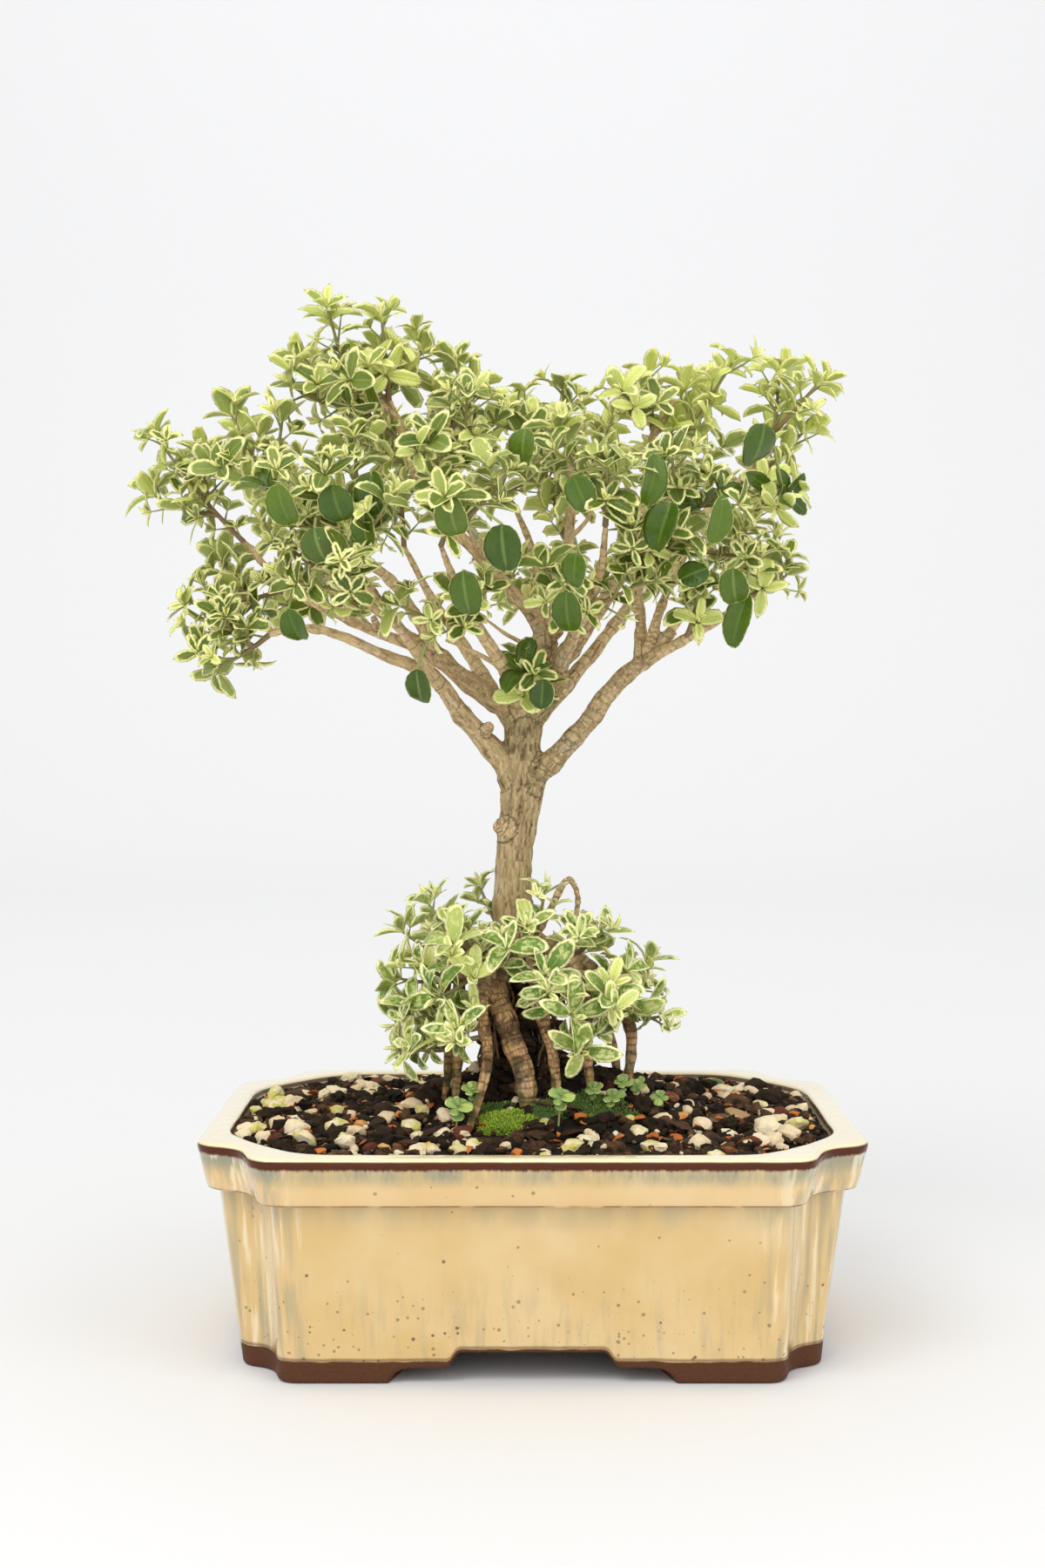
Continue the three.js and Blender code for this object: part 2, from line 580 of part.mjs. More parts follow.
/** The leaves round one station of a stem: an opposite pair, or two crossed pairs, turned up towards the light. */
function leavesAt({ centre, way, across }, count, size, spreadDegrees, random, lift = LIFT) {
  const beside = way.clone().cross(across);
  const outwards = [across, across.clone().negate(), beside, beside.clone().negate()].slice(0, count);
  return outwards.map((outward) => {
    const spread = THREE.MathUtils.degToRad(spreadDegrees + random(-11, 11));
    const length = size * random(0.8, 1.2);
    const curl = random(0.2, 1);
    const width = length * random(0.4, 0.5);
    const dir = way.clone().multiplyScalar(Math.cos(spread)).addScaledVector(outward, Math.sin(spread));
    const normal = way.clone().multiplyScalar(Math.sin(spread)).addScaledVector(outward, -Math.cos(spread));
    dir.addScaledVector(UP, lift).normalize();
    normal.addScaledVector(dir, -normal.dot(dir)).normalize();
    return { base: centre, outward, dir, normal, length, width, curl };
  });
}

/** A twig from a start to an end: its curve, its stations from foot to tip, and its very tip. */
function growTwig(start, end, size, random) {
  const span = end.distanceTo(start);
  const middle = start.clone().lerp(end, 0.5);
  middle.z -= 0.1 * span;
  middle.x += random(-0.06, 0.06) * span;
  middle.y += random(-0.06, 0.06) * span;
  const curve = [start, middle, end];
  const phase = random(0, Math.PI);
  const station = (t, turn, radius) => {
    const way = curveWay(curve, t);
    return { centre: curvePoint(curve, t), way, across: squareTo(way, turn), radius };
  };
  const pairs = span > 30 ? [0.38, 0.72] : [0.55];
  const below = pairs.map((t, i) => {
    const place = station(t, phase + (i * Math.PI) / 2, 1);
    return { ...place, leaves: leavesAt(place, 2, size, 66, random) };
  });
  const last = station(1, phase + Math.PI / 4, 0.85);
  last.leaves = leavesAt(last, 4, size, 52, random);
  const tip = last.centre.clone().addScaledVector(last.way, 3.4);
  return { curve, footAt: (t) => station(t, phase, 1.1), stations: [station(0, phase, 1.1), ...below, last], tip };
}

/** The twigs of a spray: the first grows from its root, the others from the first. */
function growSpray([root, ...tips], size, seed) {
  const random = randomFrom(seed);
  const twigs = [];
  for (const tip of tips) {
    const start = twigs.length ? curvePoint(twigs[0].curve, 0.2 + 0.12 * twigs.length) : vector(root);
    twigs.push(growTwig(start, vector(tip), size, random));
  }
  return twigs;
}

// Sprays of the canopy: where each leaves its branch, and the tips that its twigs reach

const SPRAYS = {
  left_tip: [[-94, 3, 255], [-121, -4, 288], [-123, 6, 270], [-107, -2, 282]],
  left_mid: [[-80, 6, 240], [-110, 0, 235], [-106, -8, 221], [-102, 10, 249]],
  left_low: [[-83, -17, 224.6], [-101, -12, 214], [-97, -26, 229]],
  upper_left: [[-75, -21, 261], [-98, 6, 296], [-80, -10, 292], [-96, -30, 275]],
  crown_left: [[-42, 6, 288], [-75, 12, 316], [-65, 0, 326], [-77, -8, 304]],
  crown: [[-46.5, 2, 301], [-48, -8, 324], [-36, 12, 318], [-57, -20, 304]],
  crown_right: [[-27, -3, 284.5], [-24, 4, 311], [-18, -14, 300]],
  mid_top: [[12, 0, 282.5], [10, -5, 303], [-5, 18, 298], [-11, -22, 290]],
  top_centre: [[13, 4, 270], [27, 24, 298]],
  top_right: [[39, -4, 290.5], [38, 2, 309], [29, -20, 300]],
  right_long: [[37, -8, 277], [64, -8, 311], [56, 12, 303]],
  right_crown: [[77.5, -3, 284], [81, 5, 309], [91, -8, 304]],
  right_tip: [[62.5, -10, 270], [89, 10, 291], [80, -18, 268]],
  right_mid: [[51.5, -0.5, 253], [76, -8, 250], [73, 12, 262]],
  right_low: [[69, -16, 236.4], [81, -14, 243], [68, -28, 249]],
  right_under: [[49, -15, 223], [52, -30, 237]],
  front_left: [[-60, -16, 251.6], [-80, -46, 267], [-62, -58, 270]],
  front_left_low: [[-49, -39, 237], [-76, -44, 241], [-54.6, -58, 245.2]],
  front_mid_left: [[-56.5, -47.5, 247.5], [-43, -66, 261], [-54, -44, 283]],
  front_mid: [[-24, -8, 268], [-31, -54, 280], [-20, -36, 296]],
  front_mid_low: [[-17, -30, 226], [-40, -44, 232], [-14, -52, 236]],
  front_centre: [[-27.5, -51.5, 250], [-24, -70, 262], [-8, -60, 270]],
  front_low_right: [[15, -20, 228], [4, -52, 243], [34, -36, 240]],
  front_right: [[22, -49.5, 256], [22, -62, 272], [8, -48, 284]],
  front_right_out: [[46, -16, 255], [42, -52, 276], [57, -42, 267]],
  front_right_low: [[31, -12, 246], [45, -44, 253], [30, -58, 254]],
  rosette: [[0, -1, 203], [-3, -18, 212]],
  back_left: [[-70, 37.6, 246.4], [-92, 42, 264], [-74, 56, 287.2]],
  back_left_low: [[-54, 30, 235], [-70, 52, 246], [-86, 26, 236]],
  back_mid_left: [[-44.5, 52.5, 257], [-48, 60, 300], [-58, 68, 268]],
  back_mid: [[-5.5, 53.5, 271], [-20, 66, 293], [8, 66, 288]],
  back_low: [[3, 33, 232], [-14, 62, 256], [14, 60, 254]],
  back_top: [[-34, 6, 268], [-30, 34, 305], [-56, 30, 292]],
  back_top_right: [[12, 8, 254], [0, 38, 300], [26, 44, 285]],
  back_right: [[47.5, 45.7, 262], [42, 58, 286], [62, 44, 286]],
  back_right_low: [[40, 41, 246], [38, 60, 254], [60, 40, 260]],
  back_right_out: [[61.5, 29.5, 247], [76, 30, 270], [72, 22, 246.6]],
};

// Large drooping leaves: the spray that carries each, where its blade starts, where it ends, and its width
const LARGE_LEAVES = [
  ["front_left", [-76, -56, 268], [-75, -57, 253], 8.6],
  ["front_left", [-59, -63, 267], [-58, -64, 254], 9.6],
  ["front_mid_left", [-48, -62, 271], [-47, -65, 258], 9],
  ["front_left_low", [-65, -58, 255], [-64, -60, 243], 8.6],
  ["front_left_low", [-74, -48, 231], [-71, -49, 219], 7.6],
  ["front_mid_left", [-50, -60, 260], [-51, -61, 249], 7],
  ["front_centre", [-24, -72, 263], [-24.5, -73, 250], 8],
  ["front_right", [-2, -58, 284], [-5, -60, 273], 8.6],
  ["front_centre", [-9, -74, 254.5], [-9, -75, 239], 9.6],
  ["front_mid_low", [-20.5, -66, 241.5], [-20, -67, 227], 8.8],
  ["front_right", [12, -62, 270], [16, -64, 258.5], 7.6],
  ["front_low_right", [13, -64, 247], [10.5, -65, 236], 7.6],
  ["front_low_right", [10, -60, 236], [9.5, -61, 221.5], 7.6],
  ["front_right_out", [36, -62, 276], [37, -67, 261], 8.4],
  ["front_right_low", [41, -62, 262], [35, -65, 247], 9.6],
  ["right_tip", [71, -40, 288], [70, -42, 273.5], 11],
  ["front_right_out", [57, -50, 265], [58, -52, 249.5], 8.2],
  ["front_right_low", [53, -52, 243], [43, -54, 240.5], 7.6],
  ["right_low", [61, -46, 243.5], [61, -47, 231], 8.4],
  ["right_low", [66, -40, 236.5], [60, -41, 219.5], 7.4],
  ["front_mid_low", [-36, -32, 213], [-35, -33, 200.5], 7.4],
  ["rosette", [3.5, -24, 210], [2.6, -25, 200.5], 6.4],
];

// Suckers round the foot: the length of its leaves, where each leaves the roots, and the tips of its shoots
const SUCKERS = {
  tall_left: [11, [-19, -6, 119], [-33, -9, 137]],
  left_out: [11, [-22, -4, 118], [-42, 2, 127]],
  left: [12, [-27, -4, 112], [-42, -8, 113], [-43, -4, 99]],
  left_low: [12, [-25, -14, 97], [-37, -22, 106], [-36, -20, 92]],
  front_left: [14, [-15, -18, 114], [-24, -29, 126], [-28, -31, 111]],
  front: [13, [-9, -12, 115], [-8, -30, 125]],
  front_mid: [13, [2, -13, 112], [4, -32, 117], [12, -32, 105]],
  trunk_left: [10, [-9, 4, 126], [-17, 10, 141]],
  trunk_right: [11, [1, -5, 125], [4, -14, 141]],
  right: [12, [13, -3, 119.5], [22, -7, 128]],
  right_out: [12, [24, -3, 110], [37, -5, 118], [37, -12, 105]],
  right_low: [13, [17, -15, 101], [24, -26, 109], [16, -31, 94]],
  back_left: [12, [-20, 14, 117], [-30, 24, 126]],
  back: [12, [-7, 19, 114], [-6, 32, 122]],
  back_right: [12, [12, 18, 112], [18, 30, 120]],
};

// Small seedlings in the soil: foot, height, and the length of their round leaves
const SEEDLINGS = {
  seedling_front: [[9, -37], 11, 5.4],
  seedling_left: [[-23, -36], 9, 5.6],
};

const MOSS = { x: -8, y: -33, halfX: 10.5, halfY: 7, rise: 3.4, tufts: 7, seed: 5 };

/** A plant part with its box, so that neighbours are found fast. */
const piece = (solid) => ({ solid, box: solid.boundingBox() });

/** True if two parts keep a gap. */
function apart(a, b, gap) {
  const boxesApart = [0, 1, 2].some((i) => a.box.min[i] > b.box.max[i] + gap || b.box.min[i] > a.box.max[i] + gap);
  return boxesApart || a.solid.minGap(b.solid, 2 * gap) >= gap;
}

/** A large leaf that hangs from its base to its tip with its face towards the light. */
function largeLeaf([, base, tip, width]) {
  const [from, to] = [vector(base), vector(tip)];
  const dir = to.clone().sub(from).normalize();
  const side = dir.clone().cross(new THREE.Vector3(from.x * 0.004, -1, 0.25)).normalize();
  const normal = side.clone().cross(dir).normalize();
  return { base: from, dir, normal, length: to.distanceTo(from), width, curl: 0.25 };
}

/** The point of a spray's twigs that lies nearest a point. */
function nearestOnTwigs(twigs, target) {
  return twigs
    .flatMap(({ curve }) => [0.3, 0.5, 0.7, 0.85, 0.97].map((t) => curvePoint(curve, t)))
    .reduce((best, point) => (point.distanceTo(target) < best.distanceTo(target) ? point : best));
}

/** A seedling's stations: an upright stem with a rosette of round leaves. */
function growSeedling([[x, y], height, length]) {
  const across = squareTo(UP, 0.4);
  const foot = { centre: new THREE.Vector3(x, y, soilHeight(x, y) - 5), way: UP, across, radius: 1.1 };
  const top = { centre: new THREE.Vector3(x, y, soilHeight(x, y) + height), way: UP, across, radius: 0.9 };
  const leaves = leavesAt(top, 4, length, 70, randomFrom(1), 0);
  top.leaves = leaves.map((leaf) => ({ ...leaf, width: 0.7 * leaf.length, curl: 0.5 }));
  return { stations: [foot, top], tip: top.centre.clone().addScaledVector(UP, 2) };
}

/** Every leafy node as one solid each, with the leaves that would touch another part left out. */
function growFoliage(fixed) {
  const grown = [
    ...Object.entries(SPRAYS).map(([name, row], i) => ({
      name: `spray_${name}`, twigs: growSpray(row, CANOPY_LEAF_LENGTH, 1000 + i), large: false,
    })),
    ...Object.entries(SUCKERS).map(([name, [size, ...row]], i) => ({
      name: `sucker_${name}`, twigs: growSpray(row, size, 3000 + i), large: true,
    })),
  ];
  const parts = fixed.map((solid) => ({ ...piece(solid), node: "fixed" }));
  const bareStem = ({ stations, tip }) => piece(leafyStem(stations.map((place) => ({ ...place, leaves: undefined })), tip));
  for (const plant of grown) {
    plant.solids = [];
    const [first] = plant.twigs;
    for (let t = 0.02; t < 0.4 && !apart(bareStem(first), parts[0], GAP); t += 0.02) {
      first.stations[0] = first.footAt(t);
    }
    for (const twig of plant.twigs) parts.push({ ...bareStem(twig), node: plant.name, twig });
  }
  for (const row of LARGE_LEAVES) {
    const plant = grown.find(({ name }) => name === `spray_${row[0]}`);
    const leaf = largeLeaf(row);
    const part = { ...piece(stalkedLeaf(leaf, nearestOnTwigs(plant.twigs, leaf.base))), node: plant.name };
    if (!parts.every((other) => other.node === part.node || apart(part, other, GAP))) continue;
    parts.push({ ...part, twig: part });
    plant.solids.push(part.solid);
  }
  for (const { name, twigs, large } of grown) {
    for (const twig of twigs) {
      for (const station of twig.stations.filter(({ leaves }) => leaves)) {
        station.leaves = station.leaves.filter((leaf) => {
          const part = { ...piece(freeBlade(leaf, large)), node: name, twig, station };
          const clear = parts.every(
            (other) =>
              (other.node === name && other.twig === twig && (!other.station || other.station === station)) ||
              apart(part, other, other.node === name ? 0.05 : GAP),
          );
          if (clear) parts.push(part);
          return clear;
        });
      }
    }
  }
  return grown.map(({ name, twigs, large, solids }) => {
    const stems = twigs.map(({ stations, tip }) => leafyStem(stations, tip, large));
    return [name, wasm.Manifold.union([...stems, ...solids])];
  });
}

/** A cushion of moss: a low dome covered with rounded tufts, all grown by an allowance. */
function mossCushion(allowance = 0) {
  const random = randomFrom(MOSS.seed);
  const level = soilHeight(MOSS.x, MOSS.y) - 0.6;
  const lump = (shape, x, y, halfX, halfY, halfZ) =>
    solidOf(shape.scale(halfX + allowance, halfY + allowance, halfZ + allowance).translate(x, y, level));
  const tufts = Array.from({ length: MOSS.tufts }, (_, i) => {
    const [turn, share] = [i * 2.4, Math.sqrt((i + 0.5) / MOSS.tufts)];
    const [x, y] = [Math.cos(turn), Math.sin(turn)].map((along) => 0.82 * share * along);
    const size = random(2.2, 3);
    const shape = new THREE.OctahedronGeometry(1).rotateZ(turn);
    return lump(shape, MOSS.x + MOSS.halfX * x, MOSS.y + MOSS.halfY * y, size, size, MOSS.rise + 1.8 - 2 * share ** 2);
  });
  return wasm.Manifold.union([lump(new THREE.IcosahedronGeometry(1), MOSS.x, MOSS.y, MOSS.halfX, MOSS.halfY, MOSS.rise), ...tufts]);
}

// Assembly

const material = (color, roughness) => new THREE.MeshStandardMaterial({ color, roughness, metalness: 0 });
const GLAZE = material(0xead6a8, 0.15);
const EARTH = material(0x3a2a20, 0.95);
const BARK = material(0xb59468, 0.85);
const CANOPY_LEAF = material(0x6f8a3c, 0.45);
const SUCKER_LEAF = material(0x8fae5a, 0.45);
const SEEDLING_LEAF = material(0x6fa04a, 0.5);
const MOSS_GREEN = material(0x86b52e, 0.9);
const BLACK_PLASTIC = material(0x1c1c1c, 0.6);

const group = new THREE.Group();

function add(name, solid, finish) {
  const mesh = new THREE.Mesh(geometryOf(tidied(solid)), finish);
  mesh.name = name;
  group.add(mesh);
}

const tree = wood();
const treeRoom = wood(GAP);
const moss = mossCushion();
const seedlings = Object.entries(SEEDLINGS).map(([name, row]) => {
  const { stations, tip } = growSeedling(row);
  const [foot, top] = stations.map((station) => ({ ...station, radius: station.radius + 1.5 * GAP, leaves: undefined }));
  return [name, leafyStem(stations, tip, false), leafyStem([foot, top], tip)];
});
const screenPockets = [-DRAIN_X, DRAIN_X].map((x) =>
  block([x - SCREEN_HALF - GAP, -SCREEN_HALF - GAP, FLOOR_TOP], [x + SCREEN_HALF + GAP, SCREEN_HALF + GAP, FLOOR_TOP + 1.9]),
);
const bed = largestOf(
  [treeRoom, mossCushion(GAP), ...seedlings.map(([, , room]) => room), ...screenPockets].reduce(
    (earth, cut) => earth.subtract(cut),
    soil(),
  ),
);

add("pot", pot(), GLAZE);
add("drain_screen_left", drainScreen(-DRAIN_X), BLACK_PLASTIC);
add("drain_screen_right", drainScreen(DRAIN_X), BLACK_PLASTIC);
add("soil_and_gravel", bed, EARTH);
add("trunk_branches_and_roots", tree, BARK);
add("moss_cushion", moss, MOSS_GREEN);
for (const [name, plant] of seedlings) add(name, plant, SEEDLING_LEAF);
for (const [name, plant] of growFoliage([tree, bed, moss, ...seedlings.map(([, plant]) => plant)])) {
  add(name, plant, name.startsWith("sucker") ? SUCKER_LEAF : CANOPY_LEAF);
}

// The frame's origin is the middle of the whole plant's footprint, on the surface that the pot stands on.
const footprint = new THREE.Box3().setFromObject(group).getCenter(new THREE.Vector3());
group.position.set(-footprint.x, -footprint.y, -FOOT_LEVEL);

export default group;
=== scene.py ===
"""Dresses a variegated serissa bonsai in its glazed pot, in a pale studio.

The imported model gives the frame. The plant's own lists are in millimetres: x to the right, y away from the
camera, z up, with the pot's middle at x = 0, y = 0.
"""

import logging
import math
from dataclasses import dataclass, field, replace
from enum import Enum

import bmesh
import bpy
import numpy as np
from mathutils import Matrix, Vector, kdtree, noise


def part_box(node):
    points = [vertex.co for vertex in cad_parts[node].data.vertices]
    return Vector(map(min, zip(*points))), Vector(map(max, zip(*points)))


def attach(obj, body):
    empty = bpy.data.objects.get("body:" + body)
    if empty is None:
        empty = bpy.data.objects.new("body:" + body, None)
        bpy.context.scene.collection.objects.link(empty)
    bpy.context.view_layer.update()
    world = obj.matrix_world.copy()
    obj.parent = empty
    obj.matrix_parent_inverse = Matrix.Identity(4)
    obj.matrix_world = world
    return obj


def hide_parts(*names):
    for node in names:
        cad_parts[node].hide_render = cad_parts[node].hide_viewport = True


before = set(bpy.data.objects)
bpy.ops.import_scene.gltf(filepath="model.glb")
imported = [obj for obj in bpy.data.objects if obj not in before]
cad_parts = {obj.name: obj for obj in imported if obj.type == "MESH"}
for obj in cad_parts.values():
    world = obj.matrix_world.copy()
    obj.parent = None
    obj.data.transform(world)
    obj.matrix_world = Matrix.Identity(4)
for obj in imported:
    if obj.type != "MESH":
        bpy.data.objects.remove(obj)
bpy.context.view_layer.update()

MM = 0.001
FOOT_LEVEL = -2.0
RIM_LEVEL = 69.0
BODY = "root"
LOG = logging.getLogger("serissa")

Array = np.ndarray
Object = bpy.types.Object
Material = bpy.types.Material
Pair = tuple[float, float]
Point = tuple[float, float, float]
Colour = tuple[float, float, float]
Route = list[tuple[float, float, float, float]]


# Frame and numbers


def middle_of_pot() -> Array:
    """The place of the plant's own zero point in the part's frame, in metres."""
    low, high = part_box("pot")
    return np.array([(low[0] + high[0]) / 2, (low[1] + high[1]) / 2, low[2] - FOOT_LEVEL * MM])


ORIGIN = middle_of_pot()


def placed(points: Array | Point) -> Array:
    """Turns points of the plant's lists, in millimetres, into the part's frame, in metres."""
    return np.asarray(points, float) * MM + ORIGIN


def lifted(points: Array) -> Array:
    """Turns points of the part's frame, in metres, into those of the plant's lists, in millimetres."""
    return (points - ORIGIN) / MM


class Draws:
    """A seeded source of numbers that gives the same draws as the one in the part's source."""

    def __init__(self, seed: int) -> None:
        """Starts the source at a seed."""
        self.state = seed & 0xFFFFFFFF

    def __call__(self, low: float = 0.0, high: float = 1.0) -> float:
        """The next number between two limits."""
        self.state = (self.state * 1664525 + 1013904223) & 0xFFFFFFFF
        return low + (high - low) * self.state / 4294967296


def unit(v: Array) -> Array:
    """A vector's direction."""
    return v / max(np.linalg.norm(v), 1e-12)


def smoothstep(low: float, high: float, x: Array) -> Array:
    """A soft step from 0 at low to 1 at high."""
    t = np.clip((x - low) / (high - low), 0, 1)
    return t * t * (3 - 2 * t)


def bumps(points: Array, size: float, seed: float = 0.0, octaves: int = 1) -> Array:
    """Smooth noise at points, about -1 to 1.

    Args:
        points: Places in millimetres.
        size: Width of one bump in millimetres.
        seed: Moves the pattern.
        octaves: Layers of finer bumps, each half as strong as the one before.

    Returns:
        One number per point.
    """
    total = np.zeros(len(points))
    for octave in range(octaves):
        scale = 2**octave / size
        total += [noise.noise(Vector(p * scale + seed + 7.3 * octave)) / 2**octave for p in points]
    return total


# Scene objects


def make_active(obj: Object) -> None:
    """Selects one object alone and makes it the active one."""
    bpy.ops.object.select_all(action="DESELECT")
    obj.select_set(True)
    bpy.context.view_layer.objects.active = obj


def primitive(kind: str, **settings: object) -> Object:
    """A new primitive, added with nothing else selected.

    Args:
        kind: The operator's word for the primitive.
        settings: The operator's settings.

    Returns:
        The new object.
    """
    bpy.ops.object.select_all(action="DESELECT")
    getattr(bpy.ops.mesh, f"primitive_{kind}_add")(**settings)
    return bpy.context.active_object


def linked(name: str, data: bpy.types.ID) -> Object:
    """A new object of some data, linked to the scene."""
    obj = bpy.data.objects.new(name, data)
    bpy.context.scene.collection.objects.link(obj)
    return obj


def apply_modifier(obj: Object, kind: str, **settings: object) -> None:
    """Adds a modifier and applies it.

    Args:
        obj: The object that it changes.
        kind: The modifier's type.
        settings: Its properties.
    """
    make_active(obj)
    modifier = obj.modifiers.new(kind.title(), kind)
    for name, value in settings.items():
        setattr(modifier, name, value)
    bpy.ops.object.modifier_apply(modifier=modifier.name)


def points_of(obj: Object) -> Array:
    """The vertices of a mesh object as rows, in metres."""
    return np.array([v.co for v in obj.data.vertices], float)


def normals_of(obj: Object) -> Array:
    """The vertex normals of a mesh object as rows."""
    return np.array([v.normal for v in obj.data.vertices], float)


def set_points(obj: Object, points: Array) -> None:
    """Moves the vertices of a mesh object."""
    obj.data.vertices.foreach_set("co", np.asarray(points, np.float32).ravel())
    obj.data.update()


def write_values(obj: Object, name: str, values: Array) -> None:
    """Stores one number or one vector per vertex.

    Args:
        obj: The mesh object.
        name: What a finish reads them by.
        values: A number or a row of three for each vertex.
    """
    values = np.asarray(values, np.float32)
    kind, key = ("FLOAT_VECTOR", "vector") if values.ndim == 2 else ("FLOAT", "value")
    obj.data.attributes.new(name, kind, "POINT").data.foreach_set(key, values.ravel())


def edited(obj: Object, *steps: tuple[object, dict[str, object]]) -> None:
    """Runs edit-mode operators on everything in an object.

    Args:
        obj: The mesh object.
        steps: Each operator with its settings.
    """
    make_active(obj)
    bpy.ops.object.mode_set(mode="EDIT")
    bpy.ops.mesh.select_all(action="SELECT")
    for operator, settings in steps:
        operator(**settings)
    bpy.ops.object.mode_set(mode="OBJECT")


def without_uv(obj: Object) -> Object:
    """The same object, with the UV maps of its primitive taken off."""
    while obj.data.uv_layers:
        obj.data.uv_layers.remove(obj.data.uv_layers[0])
    return obj


def lofted(name: str, rings: Array, values: dict[str, Array] | None = None) -> Object:
    """A closed skin through rings of points, started as a grid that is bent into place.

    Args:
        name: The object's name.
        rings: Points in millimetres, by ring and then anticlockwise about the way between the rings.
        values: Numbers stored per vertex, in the same order.

    Returns:
        The object. The first and last rings are closed, by a point where they have no width.
    """
    closed = np.concatenate([rings, rings[:, :1]], axis=1)
    rows, columns = closed.shape[:2]
    obj = primitive("grid", x_subdivisions=columns - 1, y_subdivisions=rows - 1, size=2)
    obj.name = name
    flat = points_of(obj)
    across = np.rint((flat[:, 0] + 1) / 2 * (columns - 1)).astype(int)
    along = np.rint((flat[:, 1] + 1) / 2 * (rows - 1)).astype(int)
    set_points(obj, placed(closed[along, across]))
    for key, table in (values or {}).items():
        wide = np.concatenate([table, table[:, :1]], axis=1)
        write_values(obj, key, wide[along, across])
    edited(
        obj,
        (bpy.ops.mesh.remove_doubles, {"threshold": 1e-6}),
        (bpy.ops.mesh.fill_holes, {"sides": 0}),
        (bpy.ops.mesh.select_all, {"action": "SELECT"}),
        (bpy.ops.mesh.normals_make_consistent, {"inside": False}),
    )
    return without_uv(obj)


def tubes(name: str, routes: list[Route], sides_step: int = 1) -> Object:
    """Closed tubes along routes, made as one curve and turned into a mesh.

    Args:
        name: The object's name.
        routes: For each tube its points and radii in millimetres.
        sides_step: 0 gives four sides, and each step more gives two more.

    Returns:
        The mesh object.
    """
    curve = bpy.data.curves.new(name, "CURVE")
    curve.dimensions = "3D"
    curve.bevel_depth = MM
    curve.bevel_resolution = sides_step
    curve.use_fill_caps = True
    for route in routes:
        table = np.array(route, float)
        spline = curve.splines.new("POLY")
        spline.points.add(len(table) - 1)
        for point, place, radius in zip(spline.points, placed(table[:, :3]), table[:, 3]):
            point.co, point.radius = (*place, 1.0), radius
    obj = linked(name, curve)
    make_active(obj)
    bpy.ops.object.convert(target="MESH")
    return without_uv(obj)


class Pattern:
    """A modelled shape kept as arrays, so that it can be copied many times."""

    def __init__(self, obj: Object) -> None:
        """Reads an object, and removes it.

        Args:
            obj: The mesh object.
        """
        mesh = obj.data
        self.points = points_of(obj)
        self.corners = np.empty(len(mesh.loops), np.int32)
        mesh.loops.foreach_get("vertex_index", self.corners)
        self.sizes = np.empty(len(mesh.polygons), np.int32)
        mesh.polygons.foreach_get("loop_total", self.sizes)
        bpy.data.objects.remove(obj)


class Copies:
    """Copies of patterns gathered into one mesh, each copy with its own vertices."""

    def __init__(self) -> None:
        """Starts with no copies."""
        self.rows: list[tuple[Pattern, Array, int, dict[str, Array | float]]] = []

    def add(self, pattern: Pattern, points: Array, finish: int = 0, **values: Array | float) -> None:
        """Adds one copy.

        Args:
            pattern: The shape that is copied.
            points: Where the copy's vertices go, in metres.
            finish: Number of the material.
            values: Numbers stored per vertex, or one number for the whole copy.
        """
        self.rows.append((pattern, points, finish, values))

    def joined(self, name: str) -> Object:
        """Makes one object of all the copies.

        Args:
            name: The object's name.

        Returns:
            The object, with every stored value as an attribute, 0 where a copy has none.
        """
        patterns, places, finishes, values = zip(*self.rows)
        counts = [len(points) for points in places]
        starts = np.concatenate([[0], np.cumsum(counts)])
        corners = np.concatenate([pattern.corners + start for pattern, start in zip(patterns, starts)])
        sizes = np.concatenate([pattern.sizes for pattern in patterns])
        mesh = bpy.data.meshes.new(name)
        mesh.vertices.add(sum(counts))
        mesh.vertices.foreach_set("co", np.concatenate(places).astype(np.float32).ravel())
        mesh.loops.add(len(corners))
        mesh.loops.foreach_set("vertex_index", corners.astype(np.int32))
        mesh.polygons.add(len(sizes))
        mesh.polygons.foreach_set("loop_start", (np.cumsum(sizes) - sizes).astype(np.int32))
        numbers = np.repeat(finishes, [len(pattern.sizes) for pattern in patterns])
        mesh.polygons.foreach_set("material_index", numbers.astype(np.int32))
        mesh.update(calc_edges=True)
        obj = linked(name, mesh)
        for key in dict.fromkeys(key for row in values for key in row):
            parts = [np.broadcast_to(row.get(key, 0.0), count) for row, count in zip(values, counts)]
            write_values(obj, key, np.concatenate(parts))
        return obj


def finish_piece(
    obj: Object, materials: list[Material], replaces: tuple[str, ...] = (),
    sharp_degrees: float | None = None,
) -> Object:
    """Smooths a piece, gives it its materials, and ties it to the frame.

    Args:
        obj: The finished mesh object.
        materials: The materials, in the order of the faces' numbers.
        replaces: The CAD nodes that the piece stands for.
        sharp_degrees: Edges sharper than this stay sharp. None smooths them all.

    Returns:
        The same object.
    """
    make_active(obj)
    if sharp_degrees is None:
        bpy.ops.object.shade_smooth()
    else:
        bpy.ops.object.shade_smooth_by_angle(angle=math.radians(sharp_degrees))
    for material in materials:
        obj.data.materials.append(material)
    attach(obj, BODY)
    if replaces:
        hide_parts(*replaces)
    LOG.info("%s: %d vertices, %d faces", obj.name, len(obj.data.vertices), len(obj.data.polygons))
    return obj


# Shader values


